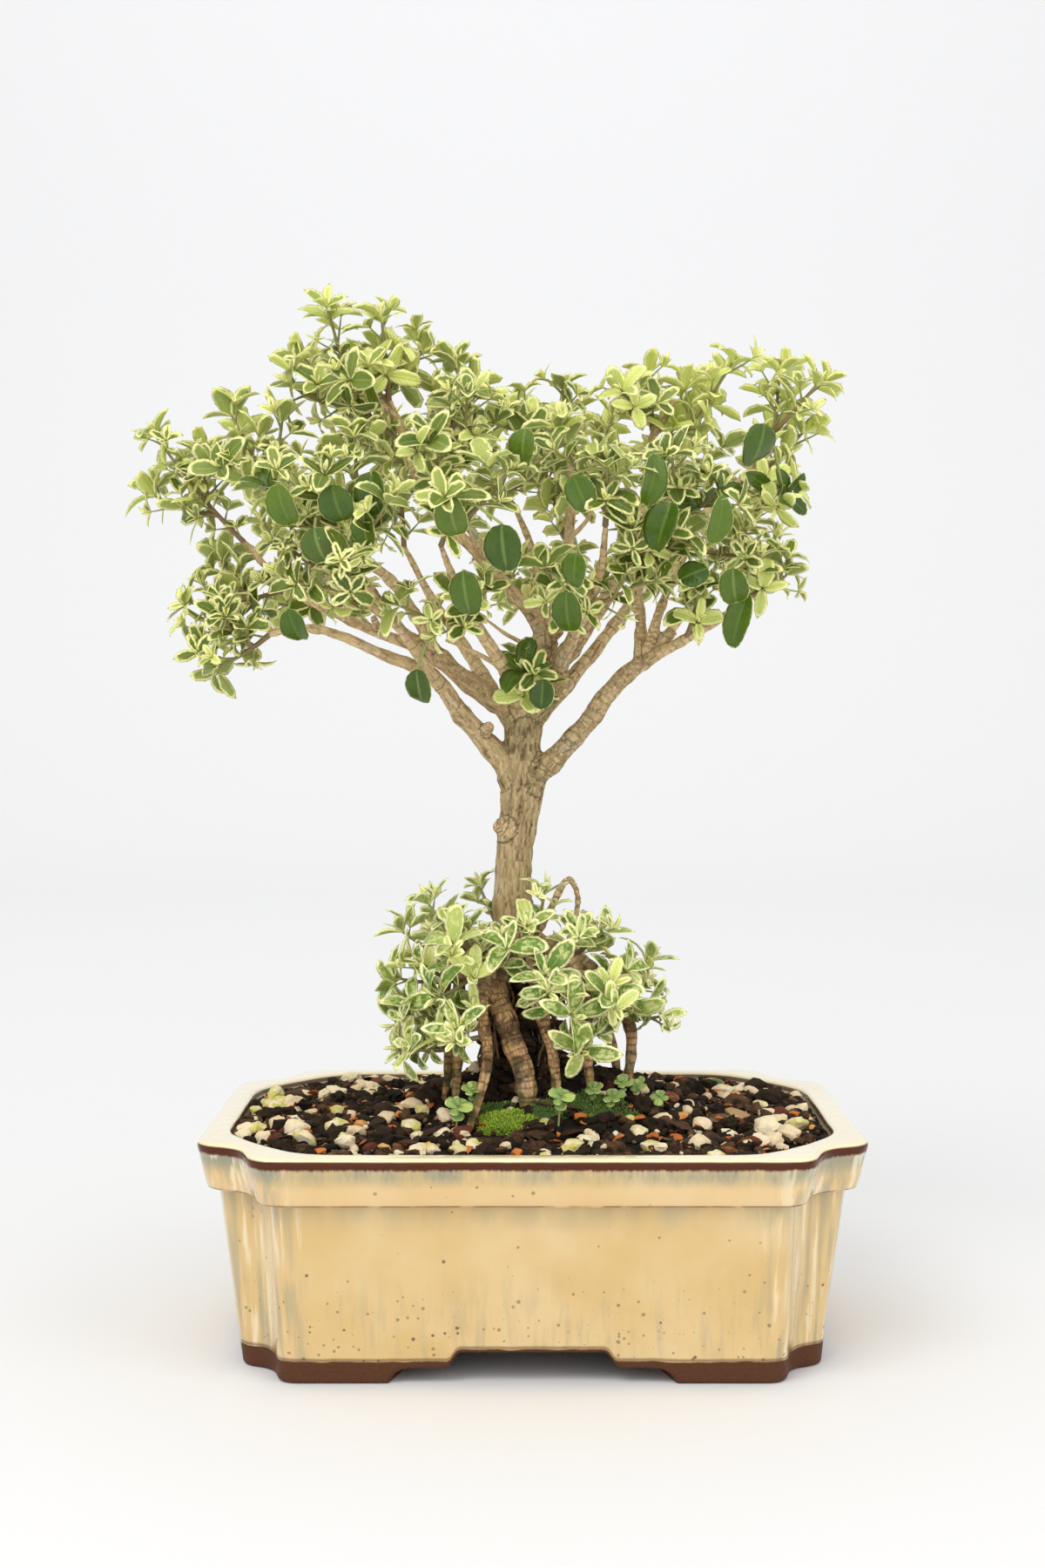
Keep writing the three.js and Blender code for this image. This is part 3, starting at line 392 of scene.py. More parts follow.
class Value:
    """A socket that can be used in sums, so that shader maths reads as Python."""

    def __init__(self, shader: "Shader", socket: bpy.types.NodeSocket) -> None:
        """Wraps an output socket of a shader."""
        self.shader = shader
        self.socket = socket

    def __add__(self, other: "Value | float") -> "Value":
        """The sum of two values."""
        return self.shader.math("ADD", self, other)

    def __sub__(self, other: "Value | float") -> "Value":
        """The difference of two values."""
        return self.shader.math("SUBTRACT", self, other)

    def __rsub__(self, other: float) -> "Value":
        """A number less this value."""
        return self.shader.math("SUBTRACT", other, self)

    def __mul__(self, other: "Value | float") -> "Value":
        """The product of two values."""
        return self.shader.math("MULTIPLY", self, other)

    def __pow__(self, other: float) -> "Value":
        """This value to a power."""
        return self.shader.math("POWER", self, other)

    def __abs__(self) -> "Value":
        """This value without its sign."""
        return self.shader.math("ABSOLUTE", self)

    __radd__ = __add__
    __rmul__ = __mul__

    def above(self, low: float, high: float) -> "Value":
        """A soft step from 0 at low to 1 at high."""
        inputs = {"Value": self, "From Min": low, "From Max": high, "To Min": 0.0, "To Max": 1.0}
        return self.shader.node("MapRange", {"interpolation_type": "SMOOTHSTEP"}, inputs, "Result")

    def below(self, low: float, high: float) -> "Value":
        """A soft step from 1 at low to 0 at high."""
        return 1 - self.above(low, high)


class Shader:
    """A material whose nodes are added by a few short methods."""

    def __init__(self, name: str) -> None:
        """Starts a material with a Principled shader.

        Args:
            name: The material's name.
        """
        self.material = bpy.data.materials.new(name)
        self.material.use_nodes = True
        self.nodes = self.material.node_tree.nodes
        self.links = self.material.node_tree.links
        self.nodes.clear()
        self.bsdf = self.nodes.new("ShaderNodeBsdfPrincipled")
        output = self.nodes.new("ShaderNodeOutputMaterial")
        self.links.new(self.bsdf.outputs[0], output.inputs["Surface"])

    def put(self, target: bpy.types.NodeSocket, value: object) -> None:
        """Links a value to a socket, or sets the socket.

        Args:
            target: The input socket.
            value: A value that is linked, or a number, vector or colour that is set.
        """
        if isinstance(value, Value):
            self.links.new(value.socket, target)
        else:
            target.default_value = (*value, 1.0) if target.type == "RGBA" else value

    def node(
        self, kind: str, settings: dict[str, str], inputs: dict[object, object], output: object = 0,
    ) -> Value:
        """Adds a node.

        Args:
            kind: The node's type.
            settings: Its properties, which are set first.
            inputs: What its sockets hold or are linked to, by name or number.
            output: Name or number of the output that is used.

        Returns:
            The output as a value.
        """
        made = self.nodes.new(f"ShaderNode{kind}")
        for name, value in settings.items():
            setattr(made, name, value)
        for name, value in inputs.items():
            self.put(made.inputs[name], value)
        return Value(self, made.outputs[output])

    def math(self, operation: str, *values: "Value | float") -> Value:
        """A Math node."""
        return self.node("Math", {"operation": operation}, dict(enumerate(values)))

    def clamp(self, value: Value) -> Value:
        """A value kept from 0 to 1."""
        return self.node("Clamp", {}, {"Value": value})

    def attribute(self, name: str, output: str = "Fac") -> Value:
        """A number stored per vertex, or a vector with output Vector."""
        return self.node("Attribute", {"attribute_name": name}, {}, output)

    def place(self) -> Value:
        """The place on the object, in millimetres."""
        found = self.node("TexCoord", {}, {}, "Object")
        return self.node("VectorMath", {"operation": "SCALE"}, {0: found, "Scale": 1 / MM})

    def stretched(self, vector: Value, factors: Point) -> Value:
        """A vector whose components are multiplied one by one."""
        return self.node("VectorMath", {"operation": "MULTIPLY"}, {0: vector, 1: factors})

    def component(self, vector: Value, axis: int) -> Value:
        """One component of a vector."""
        return self.node("SeparateXYZ", {}, {0: vector}, axis)

    def noise(self, vector: Value, size: float, detail: float = 2.0, roughness: float = 0.5) -> Value:
        """Cloudy noise from 0 to 1, whose clouds are about size wide in the vector's unit."""
        inputs = {"Vector": vector, "Scale": 1 / size, "Detail": detail, "Roughness": roughness}
        return self.node("TexNoise", {}, inputs)

    def cells(self, vector: Value, size: float, output: str = "Distance") -> Value:
        """Cells about size wide: the distance to the middle, or each cell's own Color."""
        return self.node("TexVoronoi", {}, {"Vector": vector, "Scale": 1 / size}, output)

    def mix(self, factor: "Value | float", a: "Value | Colour", b: "Value | Colour") -> Value:
        """A colour from a, at factor 0, to b, at factor 1."""
        return self.node("Mix", {"data_type": "RGBA"}, {0: factor, 6: a, 7: b}, 2)

    def bump(self, height: Value, depth: float) -> Value:
        """A normal from a height of 0 to 1 that stands for a depth in millimetres."""
        return self.node("Bump", {}, {"Height": height, "Distance": depth * MM})

    def surface(self, **sockets: object) -> Material:
        """Sets the shader's sockets.

        Args:
            sockets: What each holds or is linked to, by its name with underscores for spaces.

        Returns:
            The material.
        """
        for name, value in sockets.items():
            self.put(self.bsdf.inputs[name.replace("_", " ")], value)
        return self.material


# Finishes


@dataclass(frozen=True)
class Glaze:
    """Cream glaze that breaks brown on edges, hazy under the rim, with bare brown clay at the feet."""

    cream: Colour = (0.680, 0.468, 0.192)
    light: Colour = (0.745, 0.560, 0.285)
    haze: Colour = (0.31, 0.30, 0.21)
    brown: Colour = (0.086, 0.020, 0.006)
    clay: Colour = (0.078, 0.027, 0.011)
    clay_light: Colour = (0.125, 0.050, 0.024)
    speck: Colour = (0.12, 0.07, 0.025)
    # top and top_light: painted light, the rim's flat top painted paler than the body where bright light
    # falls on it
    top: Colour = (0.88, 0.75, 0.46)
    top_light: Colour = (0.96, 0.87, 0.62)

    def material(self) -> Material:
        """Builds the finish from the pot's stored measures: section, bare and corner.

        Returns:
            The material.
        """
        s = Shader("glaze")
        place = s.place()
        section, bare, corner = (s.attribute(name) for name in ("section", "bare", "corner"))
        height = s.component(place, 2)
        cloud = s.noise(place, 26, 3)
        drift = s.noise(s.stretched(place, (1, 1, 0.35)), 9, 3)
        streak = s.noise(s.stretched(place, (1, 1, 0.07)), 3.2, 3)
        wobble = (s.noise(s.stretched(place, (1, 1, 0.2)), 7, 2) - 0.5) * 1.6
        # Painted light: the rim's flat top is painted paler than the body, standing in for the bright light
        # that falls on it.
        top = section.above(-1.2, 0.2)
        colour = s.mix(cloud.above(0.3, 0.75), self.cream, self.light)
        colour = s.mix(top, colour, s.mix(cloud, self.top, self.top_light))
        under = (section + wobble * 1.5).above(-9.5, -4.5) * (section + wobble * 0.4).below(-3.2, -2.4)
        thread = s.noise(s.stretched(place, (1, 1, 0.12)), 1.1, 3, 0.6)
        haze = s.clamp(drift * 1.7 + thread * 0.9 + corner * 0.4 - 0.72)
        colour = s.mix(under * haze, colour, self.haze)
        warm = (section + wobble).above(-17, -14) * (section + wobble * 2).below(-10, -7)
        colour = s.mix(warm * 0.4, colour, (0.80, 0.55, 0.29))
        shade = (section + wobble * 2).above(-28, -19) * (section + wobble * 0.3).below(-17.6, -16.6)
        colour = s.mix(shade * drift.above(0.3, 0.7) * 0.38, colour, self.haze)
        flank = corner * streak.above(0.46, 0.66) * (1 - top)
        colour = s.mix(flank * 0.5, colour, self.haze)
        # Painted highlight: pale cream vertical streaks on the cut corners, standing in for the lamps' glints
        # on the glaze.
        painted_corner_highlight = corner * streak.below(0.34, 0.46) * (1 - top)
        colour = s.mix(painted_corner_highlight * 0.6, colour, (0.92, 0.84, 0.62))
        run = s.clamp(streak.above(0.48, 0.70) + thread.above(0.55, 0.8) * 0.6)
        low = height.below(8, 46) * run * (1 - top)
        colour = s.mix(low * 0.34, colour, self.haze)
        for width, share, much in ((3.4, 0.12, 0.85), (1.5, 0.10, 0.6)):
            speck = s.cells(place, width)
            pick = s.cells(place, width, output="Color")
            chance, size = s.component(pick, 0), s.component(pick, 1)
            many = height.below(10, 40) * share * 2.6 + share * 0.22
            dot = (speck * width - size**2 * 0.5).below(0.0, 0.28) * (chance - many).below(-0.01, 0.01)
            colour = s.mix(dot * (1 - top) * much, colour, self.speck)
        edge = (section + wobble * 0.5 + thread * 1.2).above(-2.9, -1.9)
        edge = edge * (section + wobble * 0.15).below(-0.6, 0.0)
        inner = (section + wobble * 0.2).above(8.4, 8.9) * (section + wobble * 0.2).below(9.8, 10.6)
        seam = abs(section + 14.5 + wobble * 0.2).below(0.12, 0.42) * drift.above(0.30, 0.5) * 0.8
        lip = (bare + wobble * 0.3).above(-0.1, 0.1) * (bare + wobble * 0.4).below(0.6, 1.3) * 0.6
        brown = s.clamp(edge + inner * 0.9 + seam + lip)
        colour = s.mix(brown, colour, self.brown)
        clay = (bare + wobble * 0.8).below(-0.2, 0.1)
        grit = s.noise(place, 0.7, 3)
        colour = s.mix(clay, colour, s.mix(grit, self.clay, self.clay_light))
        ripple = s.noise(place, 5, 2) * 0.6 + s.noise(place, 1.1, 2) * 0.12
        return s.surface(
            Base_Color=colour,
            Roughness=clay * 0.5 + (1 - clay) * 0.11,
            Normal=s.bump(ripple + (grit - ripple) * clay, 0.35),
            Coat_Weight=(1 - clay) * (1 - brown * 0.85),
            Coat_Roughness=0.05,
            Specular_IOR_Level=0.15,
        )


@dataclass(frozen=True)
class Bark:
    """Tan bark with fine fissures: pinkish on the limbs, olive on the trunk, rusty and earthy below."""

    limb: Colour = (0.56, 0.37, 0.175)
    limb_light: Colour = (0.94, 0.74, 0.44)
    trunk: Colour = (0.29, 0.205, 0.095)
    trunk_light: Colour = (0.66, 0.51, 0.28)
    root: Colour = (0.40, 0.19, 0.075)
    root_light: Colour = (0.95, 0.63, 0.32)
    groove: Colour = (0.10, 0.055, 0.025)
    earth: Colour = (0.022, 0.014, 0.009)
    moss: Colour = (0.075, 0.105, 0.016)
    root_top: float = 128.0

    def material(self) -> Material:
        """Builds the finish from the wood's stored measures: grain, groove, thick and earth.

        Returns:
            The material.
        """
        s = Shader("bark")
        place = s.place()
        height = s.component(place, 2)
        grain = s.attribute("grain", "Vector")
        groove, thick, earth = (s.attribute(name) for name in ("groove", "thick", "earth"))
        fine = s.noise(grain, 0.7, 4, 0.65)
        strand = s.noise(grain, 1.9, 3, 0.6)
        blotch = s.noise(place, 11, 3)
        fleck = s.noise(place, 1.6, 3, 0.7)
        root = height.below(self.root_top - 20, self.root_top)
        base = s.mix(root, s.mix(thick, self.limb, self.trunk), self.root)
        light = s.mix(root, s.mix(thick, self.limb_light, self.trunk_light), self.root_light)
        colour = s.mix(s.clamp(fine.above(0.32, 0.7) * 0.75 + strand * 0.35 - 0.05), base, light)
        colour = s.mix(blotch.above(0.5, 0.74) * 0.45 * thick, colour, (0.25, 0.225, 0.10))
        colour = s.mix(blotch.below(0.32, 0.46) * 0.3, colour, (0.66, 0.60, 0.46))
        crack = groove * (0.45 + thick * 0.45)
        dark = s.clamp(crack + strand.below(0.30, 0.44) * 0.5 + fleck.below(0.28, 0.38) * 0.35)
        colour = s.mix(dark, colour, self.groove)
        stain = root * s.noise(place, 6, 3).above(0.48, 0.62)
        colour = s.mix(stain * 0.75, colour, (0.05, 0.03, 0.018))
        damp = height.below(78, 98) * s.noise(place, 5, 3).above(0.38, 0.6)
        colour = s.mix(damp * 0.7, colour, self.moss)
        colour = s.mix(earth, colour, self.earth)
        return s.surface(
            Base_Color=colour,
            Roughness=0.8,
            Normal=s.bump(fine * 0.6 + strand * 0.7 + fleck * 0.25, 0.7),
            Specular_IOR_Level=0.2,
        )


class LeafTone(Enum):
    """Which leaves a finish is for: its name, dark and light green, margin, and the margin's width in mm."""

    CANOPY = ("canopy_leaf", (0.024, 0.054, 0.006), (0.190, 0.270, 0.028), (1.0, 0.97, 0.42), 0.92)
    LARGE = ("large_leaf", (0.022, 0.060, 0.003), (0.110, 0.190, 0.010), (0.68, 0.70, 0.20), 0.30)
    SUCKER = ("sucker_leaf", (0.022, 0.076, 0.008), (0.180, 0.310, 0.036), (1.0, 0.99, 0.52), 0.90)
    SEEDLING = ("seedling_leaf", (0.19, 0.33, 0.07), (0.37, 0.53, 0.16), (0.48, 0.62, 0.26), 0.15)


@dataclass(frozen=True)
class LeafFinish:
    """A satin leaf: green in the middle, cream at its margins, with a pale midrib."""

    tone: LeafTone

    def material(self) -> Material:
        """Builds the finish from the blade's stored measures: inset, across, along, under, tint and youth.

        Returns:
            The material.
        """
        name, dark, light, margin, width = self.tone.value
        s = Shader(name)
        place = s.place()
        names = ("inset", "tint", "youth", "across", "along", "under")
        inset, tint, youth, across, along, under = (s.attribute(name) for name in names)
        patch = s.noise(place, 1.5, 3, 0.6)
        mottle = s.noise(place, 4, 2)
        green = s.mix(s.clamp(tint * 0.7 + mottle * 0.5 - 0.1), dark, light)
        plain = self.tone is LeafTone.LARGE
        sheen = s.clamp(abs(across) * 1.1 + patch - 0.75)
        green = s.mix(sheen * (0.06 if plain else 0.34), green, (0.24, 0.31, 0.09))
        green = s.mix(under * 0.55, green, (0.16, 0.26, 0.07) if plain else (0.50, 0.58, 0.19))
        green = s.mix(youth.above(0.25, 1.0) * 0.95, green, (0.76, 0.84, 0.22))
        veins = s.math("SINE", (along - abs(across) * 0.22) * 44.0)
        green = s.mix(veins.above(0.55, 1.0) * (0.03 if plain else 0.14), green, light)
        if self.tone is LeafTone.SUCKER:
            splash = (patch + mottle).above(0.96, 1.12) * abs(across).below(0.35, 0.75)
            green = s.mix(splash * 0.75, green, (0.66, 0.70, 0.26))
        rim = (inset + (patch - 0.5) * 0.9).below(width * 0.55, width * 1.05)
        cream = s.mix(s.clamp(youth * 0.7 + tint * 0.2), margin, (0.98, 0.98, 0.42))
        colour = s.mix(rim, green, cream)
        rib = abs(across).below(0.05, 0.13) * along.below(0.75, 0.98) * 0.5
        colour = s.mix(rib, colour, s.mix(youth, light, (0.62, 0.68, 0.28)))
        shine = abs(across).below(0.0, 0.16) * 0.5 + veins * 0.08 + patch * 0.25
        return s.surface(
            Base_Color=colour,
            Roughness=(0.20 if plain else 0.34) + patch * 0.14,
            Normal=s.bump(shine, 0.22),
            Coat_Weight=0.2 if plain else 0.1,
            Coat_Roughness=0.1,
            Specular_IOR_Level=0.28,
        )


@dataclass(frozen=True)
class StemFinish:
    """A young stem: green where it is new and tan where it has turned to wood."""

    name: str
    green: Colour
    wood: Colour

    def material(self) -> Material:
        """Builds the finish from the stem's stored youth.

        Returns:
            The material.
        """
        s = Shader(self.name)
        place = s.place()
        youth = s.attribute("youth")
        grain = s.noise(place, 0.9, 3, 0.6)
        colour = s.mix(youth, s.mix(grain, self.wood, tuple(0.55 * part for part in self.wood)), self.green)
        colour = s.mix(grain.above(0.6, 0.75) * 0.4, colour, (0.13, 0.08, 0.035))
        return s.surface(Base_Color=colour, Roughness=0.6, Normal=s.bump(grain, 0.15))


@dataclass(frozen=True)
class Earth:
    """Loose mineral and organic pieces: a colour range, and how rough and pitted they are."""

    name: str
    dark: Colour
    light: Colour
    other: Colour
    grain: float = 0.7
    pits: float = 0.3
    roughness: float = 0.85

    def material(self) -> Material:
        """Builds the finish. The stored tint shifts each piece, and high tints take the other colour.

        Returns:
            The material.
        """
        s = Shader(self.name)
        place = s.place()
        tint = s.attribute("tint")
        cloud = s.noise(place, 3.0, 3)
        fine = s.noise(place, self.grain, 4, 0.65)
        colour = s.mix(s.clamp(tint * 0.7 + cloud * 0.6 - 0.15), self.dark, self.light)
        colour = s.mix(tint.above(0.72, 0.8) * cloud.above(0.35, 0.6), colour, self.other)
        colour = s.mix(fine.below(0.30, 0.46) * self.pits, colour, tuple(0.28 * part for part in self.dark))
        return s.surface(
            Base_Color=colour,
            Roughness=self.roughness,
            Normal=s.bump(fine, 0.5),
            Specular_IOR_Level=0.2,
        )


@dataclass(frozen=True)
class MossFinish:
    """Moss: dark between the tufts and bright lime at their tips."""

    name: str
    deep: Colour
    bright: Colour

    def material(self) -> Material:
        """Builds the finish from the tufts' stored height and tint.

        Returns:
            The material.
        """
        s = Shader(self.name)
        place = s.place()
        tip, tint = s.attribute("tip"), s.attribute("tint")
        colour = s.mix(s.clamp(tip * 0.9 + tint * 0.3 - 0.15), self.deep, self.bright)
        colour = s.mix(s.noise(place, 4, 2).above(0.55, 0.75) * 0.35, colour, (0.34, 0.36, 0.04))
        return s.surface(Base_Color=colour, Roughness=0.8, Normal=s.bump(s.noise(place, 0.4, 2), 0.15))


def matte_plastic() -> Material:
    """Black moulded plastic for the drain screens.

    Returns:
        The material.
    """
    s = Shader("screen")
    grain = s.noise(s.place(), 0.5, 3)
    colour = s.mix(grain, (0.012, 0.012, 0.012), (0.03, 0.03, 0.028))
    return s.surface(Base_Color=colour, Roughness=0.55, Normal=s.bump(grain, 0.1))


# The pot


@dataclass(frozen=True)
class Plan:
    """A level outline with cut corners: half sizes, cuts along x and y, their bend, and rounding."""

    half_x: float
    half_y: float
    cut_x: float
    cut_y: float
    hollow: float
    bend: float

    def points(self, fronts: Array, sides: Array, arc: int) -> Array:
        """Points of the outline, anticlockwise from above.

        Args:
            fronts: Shares of the way along a long side where it has points, between 0 and 1.
            sides: The same for a short side.
            arc: Steps in each bend.

        Returns:
            Rows of x and y. Outlines of unlike sizes have the same number of points in the same order.
        """
        x, y = self.half_x - self.cut_x, self.half_y - self.cut_y
        middle_x = self.half_x - self.cut_x * (1 + self.hollow) / 2
        middle_y = self.half_y - self.cut_y * (1 + self.hollow) / 2
        right = [(self.half_x, -y), (self.half_x, y), (middle_x, middle_y), (x, self.half_y)]
        back = [(-x, self.half_y), (-middle_x, middle_y)]
        left = [(-px, -py) for px, py in right]
        corners = np.array(right + back + left + [(x, -self.half_y), (middle_x, -middle_y)])
        shares = {0: sides, 3: fronts, 6: sides, 9: fronts}
        rows: list[Array] = []
        t = np.linspace(0, 1, arc + 1)[:, None]
        for i, here in enumerate(corners):
            before, after = corners[i - 1], corners[(i + 1) % 12]
            start, end = here + self.bend * unit(before - here), here + self.bend * unit(after - here)
            rows.append((1 - t) ** 2 * start + 2 * t * (1 - t) * here + t**2 * end)
            next_start = after + self.bend * unit(here - after)
            for share in shares.get(i, np.array([0.5])):
                rows.append((end + (next_start - end) * share)[None])
        return np.concatenate(rows)

    def holds(self, x: float, y: float) -> bool:
        """Whether a place is inside the outline."""
        shares = abs(x) / self.half_x, abs(y) / self.half_y
        slack = (self.half_x - abs(x)) / self.cut_x + (self.half_y - abs(y)) / self.cut_y
        return max(shares) < 1 < slack


@dataclass
class Pot:
    """The glazed pot: a banded rim, leaning walls, corners cut in, and an arch under each side."""

    rim_half: Pair = (103.0, 76.0)
    foot_half: Pair = (90.0, 63.0)
    band_height: float = 15.0
    band_step: float = 3.2
    rim_width: float = 7.0
    foot_wall: float = 9.0
    foot_cut: Pair = (14.0, 18.0)
    top_cut: Pair = (20.0, 24.0)
    inside_cut: Pair = (27.0, 32.0)
    hollow: float = 0.5
    floor_underside: float = 8.0
    floor_top: float = 13.0
    arch_half: Pair = (44.0, 29.0)
    shoulder: float = 4.6
    arch_top: float = 9.4
    glaze_line: float = 7.0
    drain_x: float = 45.0
    drain_radius: float = 8.0
    foot_bend: float = 5.0
    arc_steps: int = 5
    unevenness: float = 0.5

    def shares(self, half_width: float, length: float, pitch: float) -> Array:
        """Where a side has points: evenly, and closer where its arch rises.

        Args:
            half_width: Half the width of the side's arch.
            length: Length of the side.
            pitch: The even distance.

        Returns:
            Shares of the way along the side.
        """
        even = np.arange(-length / 2 + pitch, length / 2 - pitch / 2, pitch)
        steps = [-0.15, 0.15, 0.6, 1.4, 2.6, 4.2, 6.0, 17.2, 18.2, 19.2, 20.2, 21.2, 22.2]
        close = np.array([sign * (half_width - step) for sign in (-1, 1) for step in steps])
        even = even[np.abs(even[:, None] - close[None]).min(axis=1) > 0.55 * pitch]
        return np.sort(np.concatenate([even, close])) / length + 0.5

    def outline(self, plan: Plan) -> Array:
        """The points of a plan, as many as on the pot's other outlines."""
        spans = [2 * (half - cut - self.foot_bend) for half, cut in zip(self.foot_half, self.foot_cut)]
        fronts, sides = (self.shares(half, span, 2.6) for half, span in zip(self.arch_half, spans))
        return plan.points(fronts, sides, self.arc_steps)

    def arch(self, distance: Array) -> Array:
        """Height of an arch at a distance in from its end."""
        rise = self.shoulder * np.sqrt(np.clip(1 - (1 - np.clip(distance / 7.5, 0, 1)) ** 2, 0, 1))
        crown = (self.arch_top - self.shoulder) * smoothstep(17.2, 22.2, distance)
        return np.where(distance > 0, rise + crown, 0.0)

    def arches(self, outline: Array) -> Array:
        """Height of the arch at each point.

        Args:
            outline: Rows of x and y.

        Returns:
            Heights above the feet.
        """
        x, y = np.abs(outline[:, 0]), np.abs(outline[:, 1])
        front = y > 0.985 * y.max()
        side = x > 0.985 * x.max()
        height = np.zeros(len(outline))
        height[front] = self.arch(self.arch_half[0] - x[front])
        height[side] = self.arch(self.arch_half[1] - y[side])
        return height

    def inner(self, z: float, offset: float = 0.0) -> Plan:
        """The inside of the pot.

        Args:
            z: The height.
            offset: How far the plan is drawn in.

        Returns:
            The plan there.
        """
        rise = (z - self.floor_top) / (RIM_LEVEL - self.floor_top)
        high = (self.rim_half[0] - self.rim_width - 1.5, self.rim_half[1] - self.rim_width)
        low = (half - self.foot_wall for half in self.foot_half)
        half_x, half_y = ((1 - rise) * foot + rise * rim - offset for foot, rim in zip(low, high))
        return Plan(half_x, half_y, *self.inside_cut, -0.1, 9.0)

    def outer(self, inset: float, share: float = 1.0) -> Plan:
        """The outside of the pot.

        Args:
            inset: How far the plan is drawn in from the rim.
            share: The share of the way up from the foot's plan to that one.

        Returns:
            The plan.
        """
        (rx, ry), (fx, fy) = self.rim_half, self.foot_half
        cut_x, cut_y = (low + (high - low) * share for low, high in zip(self.foot_cut, self.top_cut))
        half_x, half_y = fx + (rx - inset - fx) * share, fy + (ry - inset - fy) * share
        return Plan(half_x, half_y, cut_x, cut_y, self.hollow, self.foot_bend + 2 * share)

    def section(self) -> list[tuple[Plan, float, float]]:
        """The outer wall, rim and inside, from foot to floor.

        Returns:
            Rows of plan, height and measure, which is the distance along the surface from the rim's outer
            edge, negative down the outside.
        """
        band_base = RIM_LEVEL - self.band_height
        body_top = band_base - 0.8
        rows = []
        for rise, inset in [(0, 1.3), (0.15, 0.65), (0.5, 0.25), (1.1, 0.05), (1.8, 0)]:
            foot = self.outer(0, 0)
            foot = replace(foot, half_x=foot.half_x - inset, half_y=foot.half_y - inset)
            rows.append((foot, FOOT_LEVEL + rise))
        low = FOOT_LEVEL + 1.8
        for share in np.linspace(0.05, 1, 16):
            rows.append((self.outer(3 + self.band_step, share), low + (body_top - 1.2 - low) * share))
        step = [(3 + self.band_step, -1.1), (5.6, -0.62), (4.6, -0.42), (3.5, -0.3), (2.9, 0.05), (2.6, 0.7)]
        rows += [(self.outer(inset), band_base + rise) for inset, rise in step]
        for share in np.linspace(0.12, 1, 8):
            rows.append((self.outer(2.5 * (1 - share)), band_base + 0.7 + (self.band_height - 2.6) * share))
        rim = [(0.05, -1.3), (0.3, -0.7), (0.75, -0.28), (1.4, -0.05), (2.4, 0.06), (4.0, 0.1)]
        rows += [(self.outer(inset), RIM_LEVEL + rise) for inset, rise in rim]
        lip = [(-1.6, 0.06), (-0.9, -0.05), (-0.35, -0.3), (-0.1, -0.8), (0.0, -1.6)]
        rows += [(self.inner(RIM_LEVEL, offset), RIM_LEVEL + rise) for offset, rise in lip]
        depths = [(z, 0.0) for z in (64, 58, 45, 30, self.floor_top + 3)] + [(self.floor_top, 2.0)]
        rows += [(self.inner(z, offset), z) for z, offset in depths]
        edge = next(i for i, row in enumerate(rows) if row[1] > RIM_LEVEL - 0.8)
        steps = [math.hypot(b[0].half_x - a[0].half_x, b[1] - a[1]) for a, b in zip(rows, rows[1:])]
        along = np.concatenate([[0], np.cumsum(steps)])
        return [(*row, measure - along[edge]) for row, measure in zip(rows, along)]

    def build(self) -> Object:
        """Models the pot as one skin from under its floor, round the foot, over the rim, and down inside.

        Returns:
            The object.
        """
        wall = self.section()
        rings, measures, bare, corner = [], [], [], []
        under = -200.0
        feet = self.outline(self.outer(0, 0))
        lift = self.arches(feet)
        bends = self.corner_share(feet)

        def ring(plan: Plan, z: Array | float, measure: float) -> None:
            """Adds one ring and what is stored along it.

            Args:
                plan: The ring's outline.
                z: Its height, or one for each point.
                measure: Its distance along the surface from the rim's edge.
            """
            outline = self.outline(plan)
            heights = np.broadcast_to(z, len(outline))
            rings.append(np.c_[outline, heights])
            measures.append(np.full(len(outline), measure))
            line = np.maximum(FOOT_LEVEL + self.glaze_line, FOOT_LEVEL + lift + 1.2)
            bare.append(np.where(measure > 0, 30.0, np.where(measure <= under, -5.0, heights - line)))
            corner.append(bends)

        middle = Plan(0.5, 0.5, 0.2, 0.2, 0.0, 0.05)
        recess, narrow, wide = (Plan(72 + more, 46 + more, 8.0, 8.0, -0.55, 2.5) for more in (0, -1.5, 0.6))
        ring(middle, self.floor_underside, under)
        ring(narrow, self.floor_underside, under)
        ring(recess, self.floor_underside - 1.0, under)
        ring(recess, FOOT_LEVEL + lift + 0.6, under)
        ring(wide, FOOT_LEVEL + lift, under)
        top = wall[20][1]
        for plan, z, measure in wall:
            height = z + lift * max(0.0, (top - z) / (top - FOOT_LEVEL)) ** 1.5 if z < top else z
            ring(plan, height, measure)
        ring(self.inner(self.floor_top, 6), self.floor_top, 90.0)
        ring(middle, self.floor_top, 90.0)
        shape = np.array(rings)
        shape[..., :2] += self.sway(shape)
        values = {"section": np.array(measures), "bare": np.array(bare), "corner": np.array(corner)}
        pot = lofted("glazed_pot", shape, values)
        self.drill(pot)
        return pot

    def sway(self, shape: Array) -> Array:
        """Small sideways shifts that keep the walls from being dead straight, none at the very foot.

        Args:
            shape: The rings' points.

        Returns:
            Shifts in x and y, in the same order.
        """
        flat = shape.reshape(-1, 3)
        shifts = np.array([noise.noise_vector(Vector(point) / 42.0)[:2] for point in flat]) * self.unevenness
        shifts *= smoothstep(FOOT_LEVEL, FOOT_LEVEL + 14, flat[:, 2])[:, None]
        return shifts.reshape(*shape.shape[:2], 2)

    def corner_share(self, outline: Array) -> Array:
        """1 on the cut corners, falling to 0 a little way along the sides."""
        x, y = np.abs(outline[:, 0]), np.abs(outline[:, 1])
        return smoothstep(x.max() - 24, x.max() - 14, x) * smoothstep(y.max() - 28, y.max() - 18, y)

